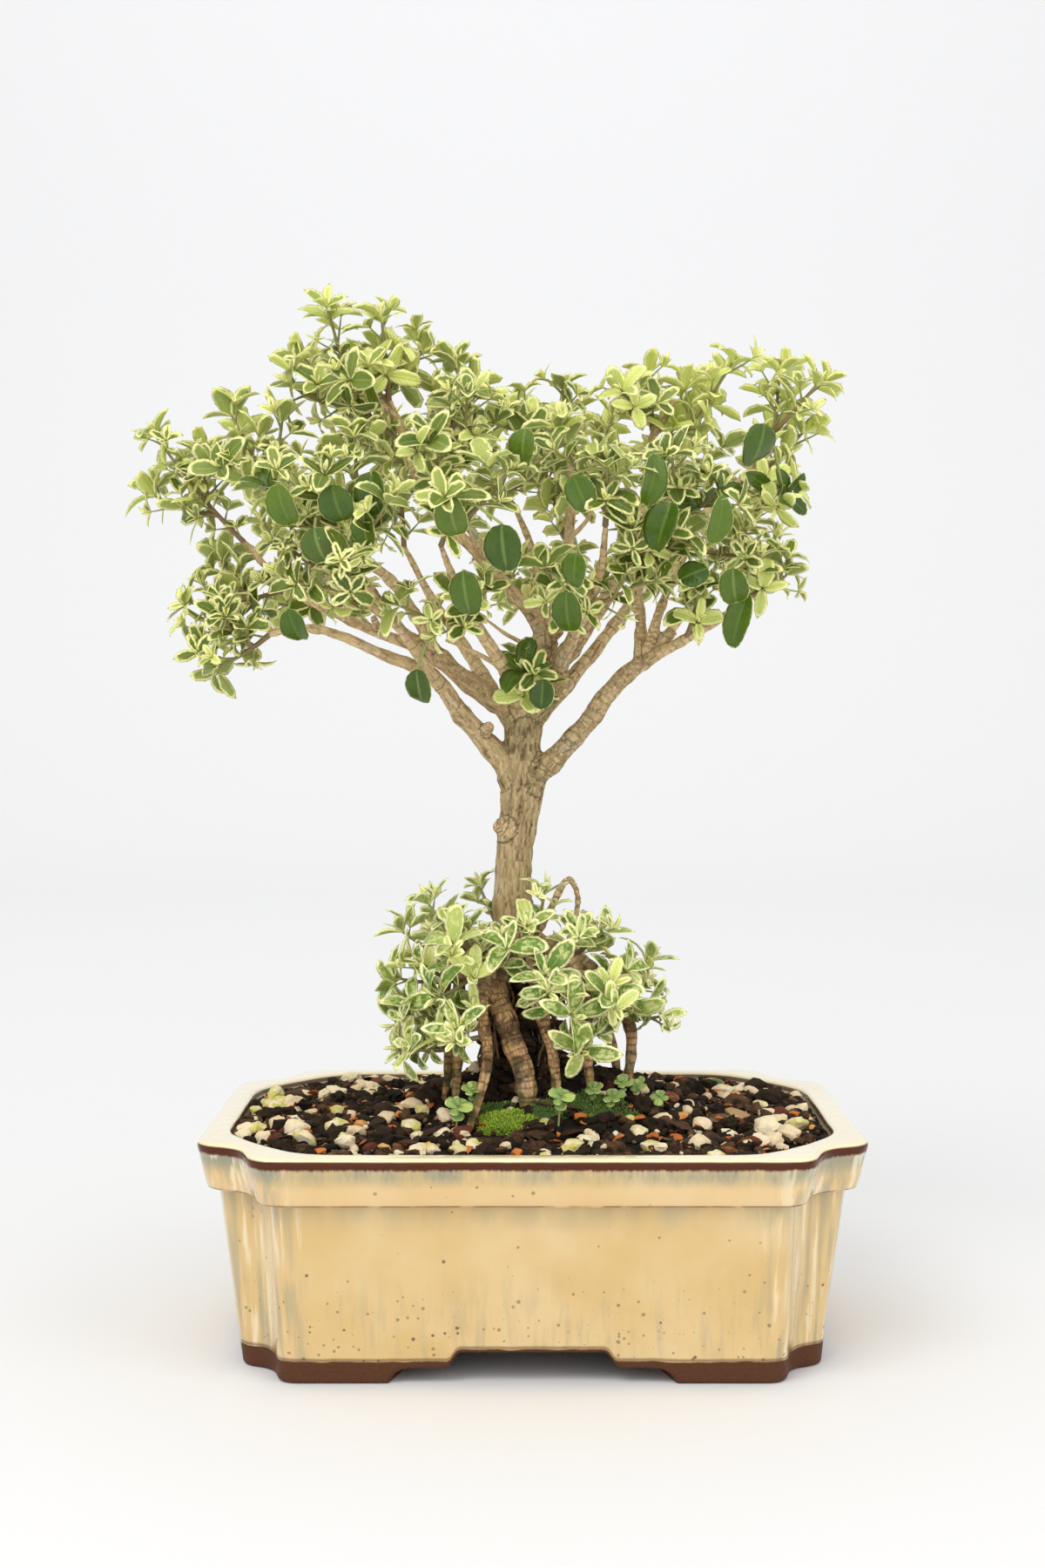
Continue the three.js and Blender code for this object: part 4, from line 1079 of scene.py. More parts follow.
    def drill(self, pot: Object) -> None:
        """Cuts the two drain holes through the floor.

        Args:
            pot: The pot.
        """
        for x in (-self.drain_x, self.drain_x):
            middle = placed((x, 0, (self.floor_underside + self.floor_top) / 2))
            drill = primitive(
                "cylinder", vertices=40, radius=self.drain_radius * MM, depth=12 * MM, location=middle,
            )
            apply_modifier(pot, "BOOLEAN", operation="DIFFERENCE", object=drill, solver="EXACT")
            bpy.data.objects.remove(drill)

    def dress(self) -> Object:
        """Builds the pot and gives it its glaze."""
        pot = self.build()
        return finish_piece(pot, [Glaze().material()], ("pot",), sharp_degrees=50)


# The wood

TRUNK: Route = [
    (-3, 2, 76, 9), (-4, 1, 104, 8.6), (-5, 0, 120, 8.4), (-5.8, 0, 133, 6.8), (-6, 0, 146, 6),
    (-5, 0, 160, 6.1), (-3.4, 0, 172, 6.8), (-3.2, 0, 181, 7), (-3, 0, 189, 5.9), (-2.2, 0, 199, 6.1),
    (-0.8, 0, 206, 4.6),
]

LIMBS: list[Route] = [
    [(-5, 0, 173, 4.2), (-9, -1, 182, 3.7), (-16, -3, 191.5, 3.4), (-23, -6, 199, 3.1), (-32, -10, 211, 2.6),
     (-47, -15, 217.7, 1.9), (-69, -18, 226, 1.5), (-84, -17, 224.5, 1.1)],
    [(-3, 0, 193, 4.2), (-8.2, 0, 200, 3.7), (-16, 0, 205.6, 3.4), (-24, 1, 212, 3.2), (-32, 3, 219, 3),
     (-42, 4, 224, 2.4)],
    [(-34, 3, 219.5, 2.3), (-50, 6, 225.4, 1.9), (-64, 8, 231.5, 1.6), (-81, 6, 241, 1.4),
     (-95, 3, 256, 1.1)],
    [(-30, 3, 216, 2.4), (-36.7, 0, 229, 2.1), (-45.5, -8, 242, 1.8), (-60, -16, 251.6, 1.5),
     (-76, -22, 262, 1.1)],
    [(-1, 0, 198, 4.6), (2.3, 0, 207.3, 4.4), (4.6, 2, 214.4, 3.8), (5, 4, 223, 3.2), (9.2, 8, 236, 2.6),
     (12, 8, 253.5, 2.1), (13, 4, 270.8, 1.6), (12, 0, 284, 1.1)],
    [(4.6, 2, 218, 2.8), (1, 0, 229.7, 2.6), (-10.7, -8, 243, 2.1), (-17.7, -10, 254.8, 1.8),
     (-24, -8, 268, 1.4), (-27.3, -3, 286, 1)],
    [(-10.7, -8, 242, 1.9), (-22, 0, 255.6, 1.9), (-34, 6, 268, 1.7), (-42, 6, 289, 1.4), (-47, 2, 303, 1)],
    [(-1, 0, 199, 4.8), (6.8, -2, 208.4, 4.3), (9.6, -4, 216, 3.6), (15.2, -6, 223.3, 2.9),
     (25.2, -10, 238, 2.3), (33, -13, 250, 2)],
    [(32.5, -12.5, 248, 1.8), (35.5, -12, 266, 1.5), (37, -8, 277.5, 1.2), (39.5, -4, 292, 0.9)],
    [(31.5, -12, 247, 1.8), (45.8, -16, 255, 1.6), (62.5, -10, 270, 1.3), (78.5, -2, 285, 1)],
    [(-3, 0, 172, 4.2), (3, -3, 180.4, 3.7), (10.4, -5, 187.8, 3.4), (18, -6, 196.2, 3.2),
     (25.3, -7, 206.4, 3), (32, -8, 213, 2.9), (38, -8, 217, 2.2)],
    [(34.5, -8, 213.5, 2.2), (35, -6, 221.3, 2), (35.4, -2, 231, 1.8), (34.3, 6, 243, 1.5),
     (33, 14, 256, 1.1)],
    [(36.5, -8, 215, 2), (39.2, -10, 226, 1.7), (43, -8, 237, 1.4), (52, 0, 254, 1)],
    [(35, -8, 215, 2), (49, -15, 223, 1.7), (62.6, -18, 231, 1.3), (70, -16, 237, 1)],
    [(35, -8, 214, 2.4), (45.5, -10, 226, 1.9)],
    [(-29, -8.5, 207, 2.2), (-40, -26, 224, 1.8), (-50, -40, 238, 1.4), (-57, -48, 248, 1)],
    [(-2, 0, 196, 3.2), (-8, -14, 212, 2.6), (-17, -30, 226, 1.9), (-24, -44, 240, 1.4), (-28, -52, 251, 1)],
    [(8, -3, 212, 2.6), (15, -20, 228, 2.1), (21, -38, 243, 1.5), (22, -50, 257, 1)],
    [(-3, 0, 190, 3.6), (-11, 14, 203, 3), (-21, 30, 219, 2.2), (-34, 44, 238, 1.6), (-45, 53, 258, 1)],
    [(-23, 0.8, 211, 2.4), (-37, 18, 222, 2), (-54, 30, 235, 1.5), (-71, 38, 247, 1)],
    [(-2, 0, 200, 3.4), (1, 16, 214, 2.8), (3, 33, 232, 2.1), (1, 47, 254, 1.5), (-6, 54, 272, 1)],
    [(-1, 0, 195, 3.4), (11, 13, 208, 2.8), (26, 29, 226, 2.1), (40, 41, 246, 1.5), (48, 46, 263, 1)],
    [(24, -6.5, 204, 2.4), (37, 8, 217, 2), (51, 22, 232, 1.5), (62, 30, 248, 1)],
]

ROOTS: list[Route] = [
    [(-5, 0, 124, 4.4), (-12, -13, 112, 3.9), (-7, -20, 97, 3.5), (-2, -24, 83, 3.3), (-1, -26, 70, 2.4)],
    [(-6, -2, 126, 3), (-15, -17, 114, 2.4), (-16, -24, 104, 2.1), (-14, -28, 91, 1.9), (-20, -36, 68, 1.3)],
    [(-6, 0, 126, 3), (-21, -9, 119, 2.4), (-24, -13, 100, 1.8), (-24, -17, 84, 1.6), (-25, -19, 70, 1.1)],
    [(-6, 0, 127, 3.4), (-25, -1, 121, 2.6), (-29, -3, 104, 1.9), (-27, -6, 86, 1.7), (-29, -8, 70, 1.1)],
    [(-6, 1, 126, 3.2), (-20, 13, 119, 2.5), (-25, 18, 102, 2), (-24, 22, 86, 1.8), (-27, 25, 69, 1.2)],
    [(-5, 1, 126, 3.4), (-8, 17, 117, 2.9), (-6, 26, 100, 2.4), (-9, 31, 86, 2.2), (-8, 34, 68, 1.5)],
    [(-4, 1, 126, 3.2), (9, 15, 117, 2.6), (15, 23, 101, 2.1), (15, 27, 86, 1.9), (19, 31, 68, 1.3)],
    [(-4, 0, 126, 3.4), (15, -2, 119, 2.7), (27, -3, 107, 2.2), (32.5, -4, 95, 2), (31, -5, 76, 1.4)],
    [(-4, -1, 126, 3.2), (10, -9, 121, 2.7), (17, -14, 110, 2.3), (17.3, -16, 95, 2.1), (19, -18, 76, 1.4)],
    [(-4, -1, 125, 2.8), (1, -12, 113, 2.4), (4, -19, 100, 2), (7, -22, 88, 1.8), (8, -25, 72, 1.2)],
    [(-4, 0, 126, 3), (14, 8, 117, 2.4), (23, 13, 101, 2), (27, 15, 88, 1.8), (30, 18, 72, 1.2)],
    [(1, -1, 126, 1.7), (6, -2, 135, 1.4), (12, -2, 145, 1.2), (15, 0, 140, 1.1), (14.5, 2, 131, 1)],
]

SPURS: list[Route] = [
    [(-44.5, 4, 295, 1.3), (-50.4, 2, 303, 1.2), (-51, 1, 311, 1.0)],
    [(38.5, -6, 287, 1.2), (43, -6, 294, 1.1), (46, -6, 300, 1.0)],
    [(-16, -3, 191.5, 2.4), (-13.5, -8, 195.5, 1.7)],
    [(6.8, -2, 208.4, 3.0), (11, -7, 206, 2.0)],
    [(-5, 0, 160, 3.4), (-11.5, -4, 163, 2.4)],
    [(5, 4, 223, 2.2), (9.5, -1, 226.5, 1.7)],
    [(-50, 6, 225.4, 1.5), (-52, 2, 231, 1.1)],
    [(25.2, -10, 238, 1.8), (22, -15, 242, 1.2)],
]

DEAD_TWIGS: list[Route] = [
    [(-5, -4, 208, 1.0), (-7.3, -8, 212, 0.9), (-15.7, -11, 217.3, 0.8), (-22.1, -12, 220.4, 0.6),
     (-27.7, -12, 222.6, 0.4)],
    [(3, -1, 214, 0.9), (-2.5, -6, 221.2, 0.8), (-9, -8, 225.1, 0.6), (-16.5, -9, 230.7, 0.4)],
    [(-42, 5, 291, 0.9), (-43.4, 3, 295.2, 0.8), (-55.8, 1, 303, 0.6), (-63.9, 0, 306, 0.4)],
    [(-27, -5, 289.3, 0.8), (-22.1, -9, 281.2, 0.7), (-18.8, -10, 273.6, 0.5)],
    [(12, 7, 256, 0.9), (18, 1, 262, 0.7), (21, -4, 270, 0.45)],
    [(35.4, -2, 231, 0.9), (29, -6, 236, 0.7), (24, -9, 244, 0.4)],
    [(-60, 7, 230, 0.9), (-62, 2, 238, 0.6), (-67, -3, 244, 0.4)],
]


def smooth_route(route: Route, spans: int) -> Array:
    """Points and radii along a smooth curve through a route, by the centripetal rule.

    Args:
        route: The points that the curve passes, with radii.
        spans: Steps between two points.

    Returns:
        Rows of x, y, z and radius.
    """
    table = np.array(route, float)
    ends = np.vstack([2 * table[0] - table[1], table, 2 * table[-1] - table[-2]])
    gaps = np.maximum(np.linalg.norm(np.diff(ends[:, :3], axis=0), axis=1) ** 0.5, 1e-4)
    rows = []
    for i in range(len(table) - 1):
        a, b, c, d = ends[i : i + 4]
        before, here, after = gaps[i : i + 3]
        leave = here * ((b - a) / before - (c - a) / (before + here) + (c - b) / here)
        arrive = here * ((c - b) / here - (d - b) / (here + after) + (d - c) / after)
        leave[3] = arrive[3] = c[3] - b[3]
        square, cube = 3 * (c - b) - 2 * leave - arrive, leave + arrive - 2 * (c - b)
        rows += [b + leave * t + square * t**2 + cube * t**3 for t in np.arange(spans) / spans]
    rows.append(table[-1])
    return np.array(rows)


def distances_along(table: Array) -> Array:
    """Distance of each row's point from the first, along the way."""
    return np.concatenate([[0], np.cumsum(np.linalg.norm(np.diff(table[:, :3], axis=0), axis=1))])


@dataclass
class Wood:
    """Trunk, limbs and roots grown into one body, with knobs, cut stubs and fissured bark."""

    voxel: float = 0.74
    spans: int = 7
    knob: float = 0.10
    scar_spacing: float = 13.0
    fissure: float = 0.55
    core: Pair = (-4.0, 1.0)
    rootlets: int = 90
    clods: int = 420

    def knobbly(self, route: Route, seed: int, calm: float = 1.0) -> Array:
        """A smooth route whose radius swells at leaf scars and wanders between them.

        Args:
            route: The points that the curve passes, with radii.
            seed: Seed of the swellings.
            calm: Share of the full unevenness.

        Returns:
            Rows of x, y, z and radius.
        """
        draws = Draws(seed)
        table = smooth_route(route, self.spans)
        along = distances_along(table)
        radius = table[:, 3].copy()
        swell = np.zeros(len(table))
        place = draws(2, self.scar_spacing)
        while place < along[-1]:
            swell += draws(0.10, 0.26) * np.exp(-(((along - place) / (0.8 + 0.35 * radius)) ** 2))
            place += self.scar_spacing * draws(0.5, 1.4)
        drift = np.array([noise.noise(Vector((a / 9, seed * 3.7, 0))) for a in along])
        table[:, 3] = radius * (1 + calm * (swell + self.knob * drift))
        sway = np.array([noise.noise_vector(Vector((a / 7, 5.1, seed * 1.9))) for a in along])
        table[:, :3] += calm * 0.16 * radius[:, None] * sway * smoothstep(0, 6, along)[:, None]
        return table

    def lines(self) -> list[Array]:
        """Every limb's points and radii, trunk first."""
        trunk = [self.knobbly(TRUNK, 11, 0.5)]
        limbs = [self.knobbly(route, 20 + i) for i, route in enumerate(LIMBS)]
        roots = [self.knobbly(route, 60 + i) for i, route in enumerate(ROOTS)]
        spurs = [self.knobbly(route, 90 + i, 0.6) for i, route in enumerate(SPURS)]
        return trunk + limbs + roots + spurs

    def build(self) -> Object:
        """Joins the limbs into one skin and works the bark into it."""
        lines = self.lines()
        wood = tubes("trunk_branches_and_roots_bark", lines, sides_step=4)
        apply_modifier(wood, "REMESH", mode="VOXEL", voxel_size=self.voxel * MM, adaptivity=0.0)
        apply_modifier(wood, "SMOOTH", factor=0.5, iterations=3)
        self.carve(wood, lines)
        return wood

    def carve(self, wood: Object, lines: list[Array]) -> None:
        """Presses fissures into the bark along each limb and stores what the finish needs.

        Args:
            wood: The smooth skin.
            lines: Every limb's points and radii.
        """
        samples = np.concatenate(lines)
        tangents = np.concatenate([np.gradient(line[:, :3], axis=0) for line in lines])
        tangents /= np.linalg.norm(tangents, axis=1)[:, None]
        along = np.concatenate([distances_along(line) + 61.0 * i for i, line in enumerate(lines)])
        tree = kdtree.KDTree(len(samples))
        for i, sample in enumerate(samples):
            tree.insert(sample[:3], i)
        tree.balance()
        places = lifted(points_of(wood))
        hits = (min(tree.find_n(p, 6), key=lambda hit: hit[2] - samples[hit[1], 3]) for p in places)
        nearest = np.array([hit[1] for hit in hits])
        axis, radius = tangents[nearest], samples[nearest, 3]
        offset = places - samples[nearest, :3]
        forward = np.einsum("ij,ij->i", offset, axis)
        radial = offset - forward[:, None] * axis
        thick = smoothstep(1.2, 5.5, radius)
        grain = radial + axis * ((along[nearest] + forward) * (0.16 - 0.07 * thick))[:, None]
        coarse = bumps(grain, 2.1, 3.0, 2)
        fine = bumps(grain, 1.0, 9.0, 2)
        cross = bumps(places, 3.0, 5.0, 1)
        ridged = 1 - np.abs(coarse) * 2.2
        groove = smoothstep(0.45, 0.95, ridged)
        depth = self.fissure * (0.35 + 0.65 * thick)
        push = depth * (0.35 * fine - 0.75 * groove + 0.35 * cross)
        set_points(wood, points_of(wood) + normals_of(wood) * (push * MM)[:, None])
        write_values(wood, "grain", grain)
        write_values(wood, "groove", groove * smoothstep(0.25, 0.7, 0.5 + 0.5 * fine))
        write_values(wood, "thick", thick)
        core = np.hypot(places[:, 0] - self.core[0], places[:, 1] - self.core[1])
        inside = smoothstep(13.5, 9.5, core) * smoothstep(125, 113, places[:, 2])
        write_values(wood, "earth", inside * smoothstep(-0.9, 0.1, cross + 0.6))

    def dress(self) -> list[Object]:
        """Builds the wood, the dead twigs and the root mass, and gives them their bark.

        Returns:
            The three pieces.
        """
        bark = Bark().material()
        wood = finish_piece(self.build(), [bark], ("trunk_branches_and_roots",))
        routes = [self.knobbly(route, 130 + i) for i, route in enumerate(DEAD_TWIGS)]
        twigs = tubes("dead_inner_twigs", routes, sides_step=2)
        write_values(twigs, "grain", lifted(points_of(twigs)) * (1.0, 1.0, 0.3))
        return [wood, finish_piece(twigs, [bark]), self.root_mass(bark)]

    def root_mass(self, bark: Material) -> Object:
        """Thin roots and clods of earth that fill the space between the standing roots.

        Args:
            bark: The wood's finish.

        Returns:
            The piece.
        """
        draws = Draws(31)
        copies = Copies()
        routes = []
        for _ in range(self.rootlets):
            turn, reach, top = draws(0, 2 * math.pi), draws(7, 12), draws(108, 122)
            spread, drop = draws(0.9, 1.5), draws(16, 34)
            radius, lean = draws(0.28, 0.75), draws(-0.5, 0.5)
            rows = []
            for share in np.linspace(0, 1, 9):
                angle = turn + lean * share + 0.12 * math.sin(7 * share + turn * 3)
                away = reach * (1 + (spread - 1) * share) + draws(-0.7, 0.7)
                x, y = self.core[0] + away * math.cos(angle), self.core[1] + away * math.sin(angle)
                level = max(soil_height(x, y) - 1.5, top - drop * share)
                rows.append((x, y, level, radius * (1 - 0.5 * share)))
            routes.append(rows)
        strands = Pattern(tubes("rootlets", routes, sides_step=0))
        copies.add(strands, strands.points, earth=0.55)
        lumps = [lump.model() for lump in CRUMBS]
        for _ in range(self.clods):
            turn, reach, level = draws(0, 2 * math.pi), draws(6.5, 13), draws(84, 119)
            lump, size = lumps[int(draws(0, len(lumps) - 0.01))], draws(0.9, 2.6)
            middle = (self.core[0] + reach * math.cos(turn), self.core[1] + reach * math.sin(turn), level)
            copies.add(lump, placed(lump.points * size + middle), earth=draws(0.85, 1.0))
        mass = copies.joined("root_mass_and_earth")
        write_values(mass, "grain", lifted(points_of(mass)))
        return finish_piece(mass, [bark], (), 40)


# Leaves


class BladeShape(Enum):
    """A blade's outline: the share of its length where it is widest, and how narrow its ends are."""

    LANCE = (0.52, 1.42)
    OVAL = (0.47, 1.06)
    SPEAR = (0.55, 1.62)
    ROUND = (0.56, 0.80)

    def width(self, share: Array) -> Array:
        """Width at shares of the length, as shares of the greatest width."""
        widest, ends = self.value
        low = np.clip(share / widest, 0, None) ** (widest * ends)
        high = np.clip((1 - share) / (1 - widest), 0, None) ** ((1 - widest) * ends)
        return low * high


@dataclass
class Leaf:
    """One blade: where it starts, the way it runs and faces, its size, and how it arches."""

    base: Array
    way: Array
    normal: Array
    length: float
    width: float
    curl: float
    youth: float = 0.0
    cup: float = 0.2
    wave: float = 0.0
    twist: float = 0.0


class BladeMould:
    """A flat lens of faces from which every blade is copied."""

    def __init__(self, columns: int, shares: tuple[float, ...]) -> None:
        """Models the lens.

        Args:
            columns: Faces from margin to margin.
            shares: Shares of the length where the blade has points.
        """
        rows = len(shares) - 1
        lens = primitive("grid", x_subdivisions=columns, y_subdivisions=rows, size=2)
        apply_modifier(lens, "SOLIDIFY", thickness=0.4, offset=0.0, use_even_offset=False)
        flat = points_of(lens)
        share = np.array(shares)[np.rint((flat[:, 1] + 1) / 2 * rows).astype(int)]
        between = (share > 0.001) & (share < 0.999)
        thickness = np.sign(flat[:, 2]) * (1 - flat[:, 0] ** 2) * between
        set_points(lens, np.c_[flat[:, 0] * between, share, thickness])
        edited(
            lens,
            (bpy.ops.mesh.remove_doubles, {"threshold": 1e-5}),
            (bpy.ops.mesh.select_all, {"action": "SELECT"}),
            (bpy.ops.mesh.normals_make_consistent, {"inside": False}),
        )
        self.pattern = Pattern(lens)
        self.across, self.share, self.height = self.pattern.points.T

    def press(
        self, copies: Copies, leaf: Leaf, shape: BladeShape, finish: int, tint: float, thick: float = 0.13,
    ) -> None:
        """Adds a blade to the copies.

        Args:
            copies: What the blade is added to.
            leaf: The blade's place, size and arch.
            shape: Its outline.
            finish: Number of its material.
            tint: A number from 0 to 1 that shifts its green.
            thick: Half its thickness in millimetres.
        """
        across, share = self.across, self.share
        half = 0.5 * leaf.width * shape.width(share)
        curl = leaf.curl if abs(leaf.curl) > 0.02 else 0.02
        bend = curl * share
        reach = leaf.length / curl
        turn = leaf.twist * share
        side = np.cross(leaf.way, leaf.normal)
        normal = leaf.normal * np.cos(bend)[:, None] + leaf.way * np.sin(bend)[:, None]
        lean = side * np.cos(turn)[:, None] + normal * np.sin(turn)[:, None]
        up = normal * np.cos(turn)[:, None] - side * np.sin(turn)[:, None]
        centre = leaf.base + leaf.way * (reach * np.sin(bend))[:, None]
        centre = centre - leaf.normal * (reach * (1 - np.cos(bend)))[:, None]
        ripple = leaf.wave * np.sin(share * 13 + tint * 20) * np.abs(across) ** 2
        lift = self.height * thick + np.abs(across) ** 1.4 * half * leaf.cup + ripple
        points = centre + lean * (across * half)[:, None] + up * lift[:, None]
        inset = np.minimum((1 - np.abs(across)) * half, (1 - share) * leaf.length * 0.45)
        copies.add(
            self.pattern, placed(points), finish, inset=inset, across=across, along=share,
            under=(self.height < 0) * 1.0, tint=tint, youth=leaf.youth,
        )


LEAF_LIFT = 0.4


def curve_point(curve: list[Array], t: float) -> Array:
    """A point of the curve that starts at a, is drawn towards b and ends at c."""
    a, b, c = curve
    return a * (1 - t) ** 2 + b * (2 * t * (1 - t)) + c * t**2


def curve_way(curve: list[Array], t: float) -> Array:
    """The way that the same curve runs at a share of it."""
    a, b, c = curve
    return unit((b - a) * (1 - t) + (c - b) * t)


def square_to(way: Array, turn: float) -> Array:
    """A level direction square to a way, turned about it by an angle."""
    level = unit(np.cross(way, (0, 1, 0) if abs(way[2]) > 0.97 else (0, 0, 1)))
    return level * math.cos(turn) + np.cross(level, way) * math.sin(turn)


def leaves_at(
    centre: Array, way: Array, across: Array, count: int, size: float, spread_degrees: float,
    draws: Draws, lift: float = LEAF_LIFT,
) -> list[Leaf]:
    """The leaves round one station of a stem: an opposite pair, or two crossed pairs.

    Args:
        centre: The station.
        way: The way that the stem runs.
        across: The way to the first leaf.
        count: Two or four leaves.
        size: Their usual length.
        spread_degrees: How far they open from the stem.
        draws: The seeded source.
        lift: How far they turn up to the light.

    Returns:
        The leaves.
    """
    beside = np.cross(way, across)
    leaves = []
    for outward in (across, -across, beside, -beside)[:count]:
        spread = math.radians(spread_degrees + draws(-11, 11))
        length = size * draws(0.8, 1.2)
        curl = draws(0.2, 1)
        width = length * draws(0.4, 0.5)
        direction = unit(way * math.cos(spread) + outward * math.sin(spread) + np.array((0, 0, lift)))
        normal = way * math.sin(spread) - outward * math.cos(spread)
        normal = unit(normal - direction * float(normal @ direction))
        leaves.append(Leaf(centre, direction, normal, length, width, curl))
    return leaves


@dataclass
class Twig:
    """A twig: its curve, the leaves on it, its very tip, and how thick and young it is."""

    curve: list[Array]
    leaves: list[Leaf]
    tip: Array
    foot: float = 1.0
    youth: float = 0.0

    def route(self) -> Route:
        """Points and radii of its stem."""
        span = np.linalg.norm(self.curve[2] - self.curve[0])
        steps = max(3, round(span / 5))
        shares = np.linspace(0, 1, steps + 1)
        radii = self.foot * (1 - 0.55 * shares)
        rows = [(*curve_point(self.curve, t), radius) for t, radius in zip(shares, radii)]
        return rows + [(*self.tip, 0.22)]


def grow_twig(start: Array, end: Array, size: float, draws: Draws) -> Twig:
    """A twig with the draws of the part's source.

    Args:
        start: Where it grows from.
        end: Where its last leaves stand.
        size: Length of a leaf.
        draws: The seeded source.

    Returns:
        The twig.
    """
    span = np.linalg.norm(end - start)
    middle = (start + end) / 2 + (0, 0, -0.1 * span)
    middle = middle + (draws(-0.06, 0.06) * span, draws(-0.06, 0.06) * span, 0)
    curve = [start, middle, end]
    phase = draws(0, math.pi)
    leaves = []
    for i, t in enumerate((0.38, 0.72) if span > 30 else (0.55,)):
        way = curve_way(curve, t)
        across = square_to(way, phase + i * math.pi / 2)
        leaves += leaves_at(curve_point(curve, t), way, across, 2, size, 66, draws)
    way = curve_way(curve, 1)
    leaves += leaves_at(end, way, square_to(way, phase + math.pi / 4), 4, size, 52, draws)
    return Twig(curve, leaves, end + way * 3.4)


def grow_spray(points: list[Point], size: float, seed: int) -> list[Twig]:
    """The twigs of a spray: the first grows from its root, the others from the first.

    Args:
        points: The root and the tips.
        size: Length of a leaf.
        seed: Seed of the draws.

    Returns:
        The twigs.
    """
    draws = Draws(seed)
    root, *tips = (np.array(point, float) for point in points)
    twigs: list[Twig] = []
    for tip in tips:
        start = curve_point(twigs[0].curve, 0.2 + 0.12 * len(twigs)) if twigs else root
        twigs.append(grow_twig(start, tip, size, draws))
    return twigs


@dataclass(frozen=True)
class ShootHabit:
    """How short leafy shoots grow from the sides of a twig."""

    spacing: float = 11.0
    lengths: Pair = (4.5, 11.0)
    size: Pair = (0.62, 0.95)
    most: int = 6
    lift: float = LEAF_LIFT


def side_shoots(twig: Twig, size: float, habit: ShootHabit, draws: Draws) -> list[Twig]:
    """Short shoots along a twig, each with a tuft of four leaves and sometimes a pair below it.

    Args:
        twig: The twig that they grow from.
        size: Length of the twig's leaves.
        habit: How they grow.
        draws: The seeded source.

    Returns:
        The shoots.
    """
    span = np.linalg.norm(twig.curve[2] - twig.curve[0])
    count = min(habit.most, max(1, round(span / habit.spacing)))
    shoots = []
    turn = draws(0, math.pi)
    for i in range(count):
        t = min(0.96, (i + 0.55 + draws(-0.25, 0.25)) / count)
        turn += 2.4 + draws(-0.4, 0.4)
        way, start = curve_way(twig.curve, t), curve_point(twig.curve, t)
        outward = square_to(way, turn)
        heading = unit(way * draws(0.35, 0.9) + outward * draws(0.6, 1.0) + np.array((0, 0, 0.22)))
        length = draws(*habit.lengths)
        end = start + heading * length
        curve = [start, start + heading * length * 0.5 + outward * draws(-0.1, 0.1) * length, end]
        leaf_size = size * draws(*habit.size)
        across = square_to(heading, draws(0, math.pi))
        leaves = leaves_at(end, heading, across, 4, leaf_size, 54, draws, habit.lift)
        if length > 6.5:
            low, across = curve_point(curve, 0.5), square_to(heading, draws(0, math.pi))
            leaves += leaves_at(low, heading, across, 2, leaf_size * 0.95, 68, draws)
        shoots.append(Twig(curve, leaves, end + heading * 1.6, 0.5, 0.6))
    return shoots


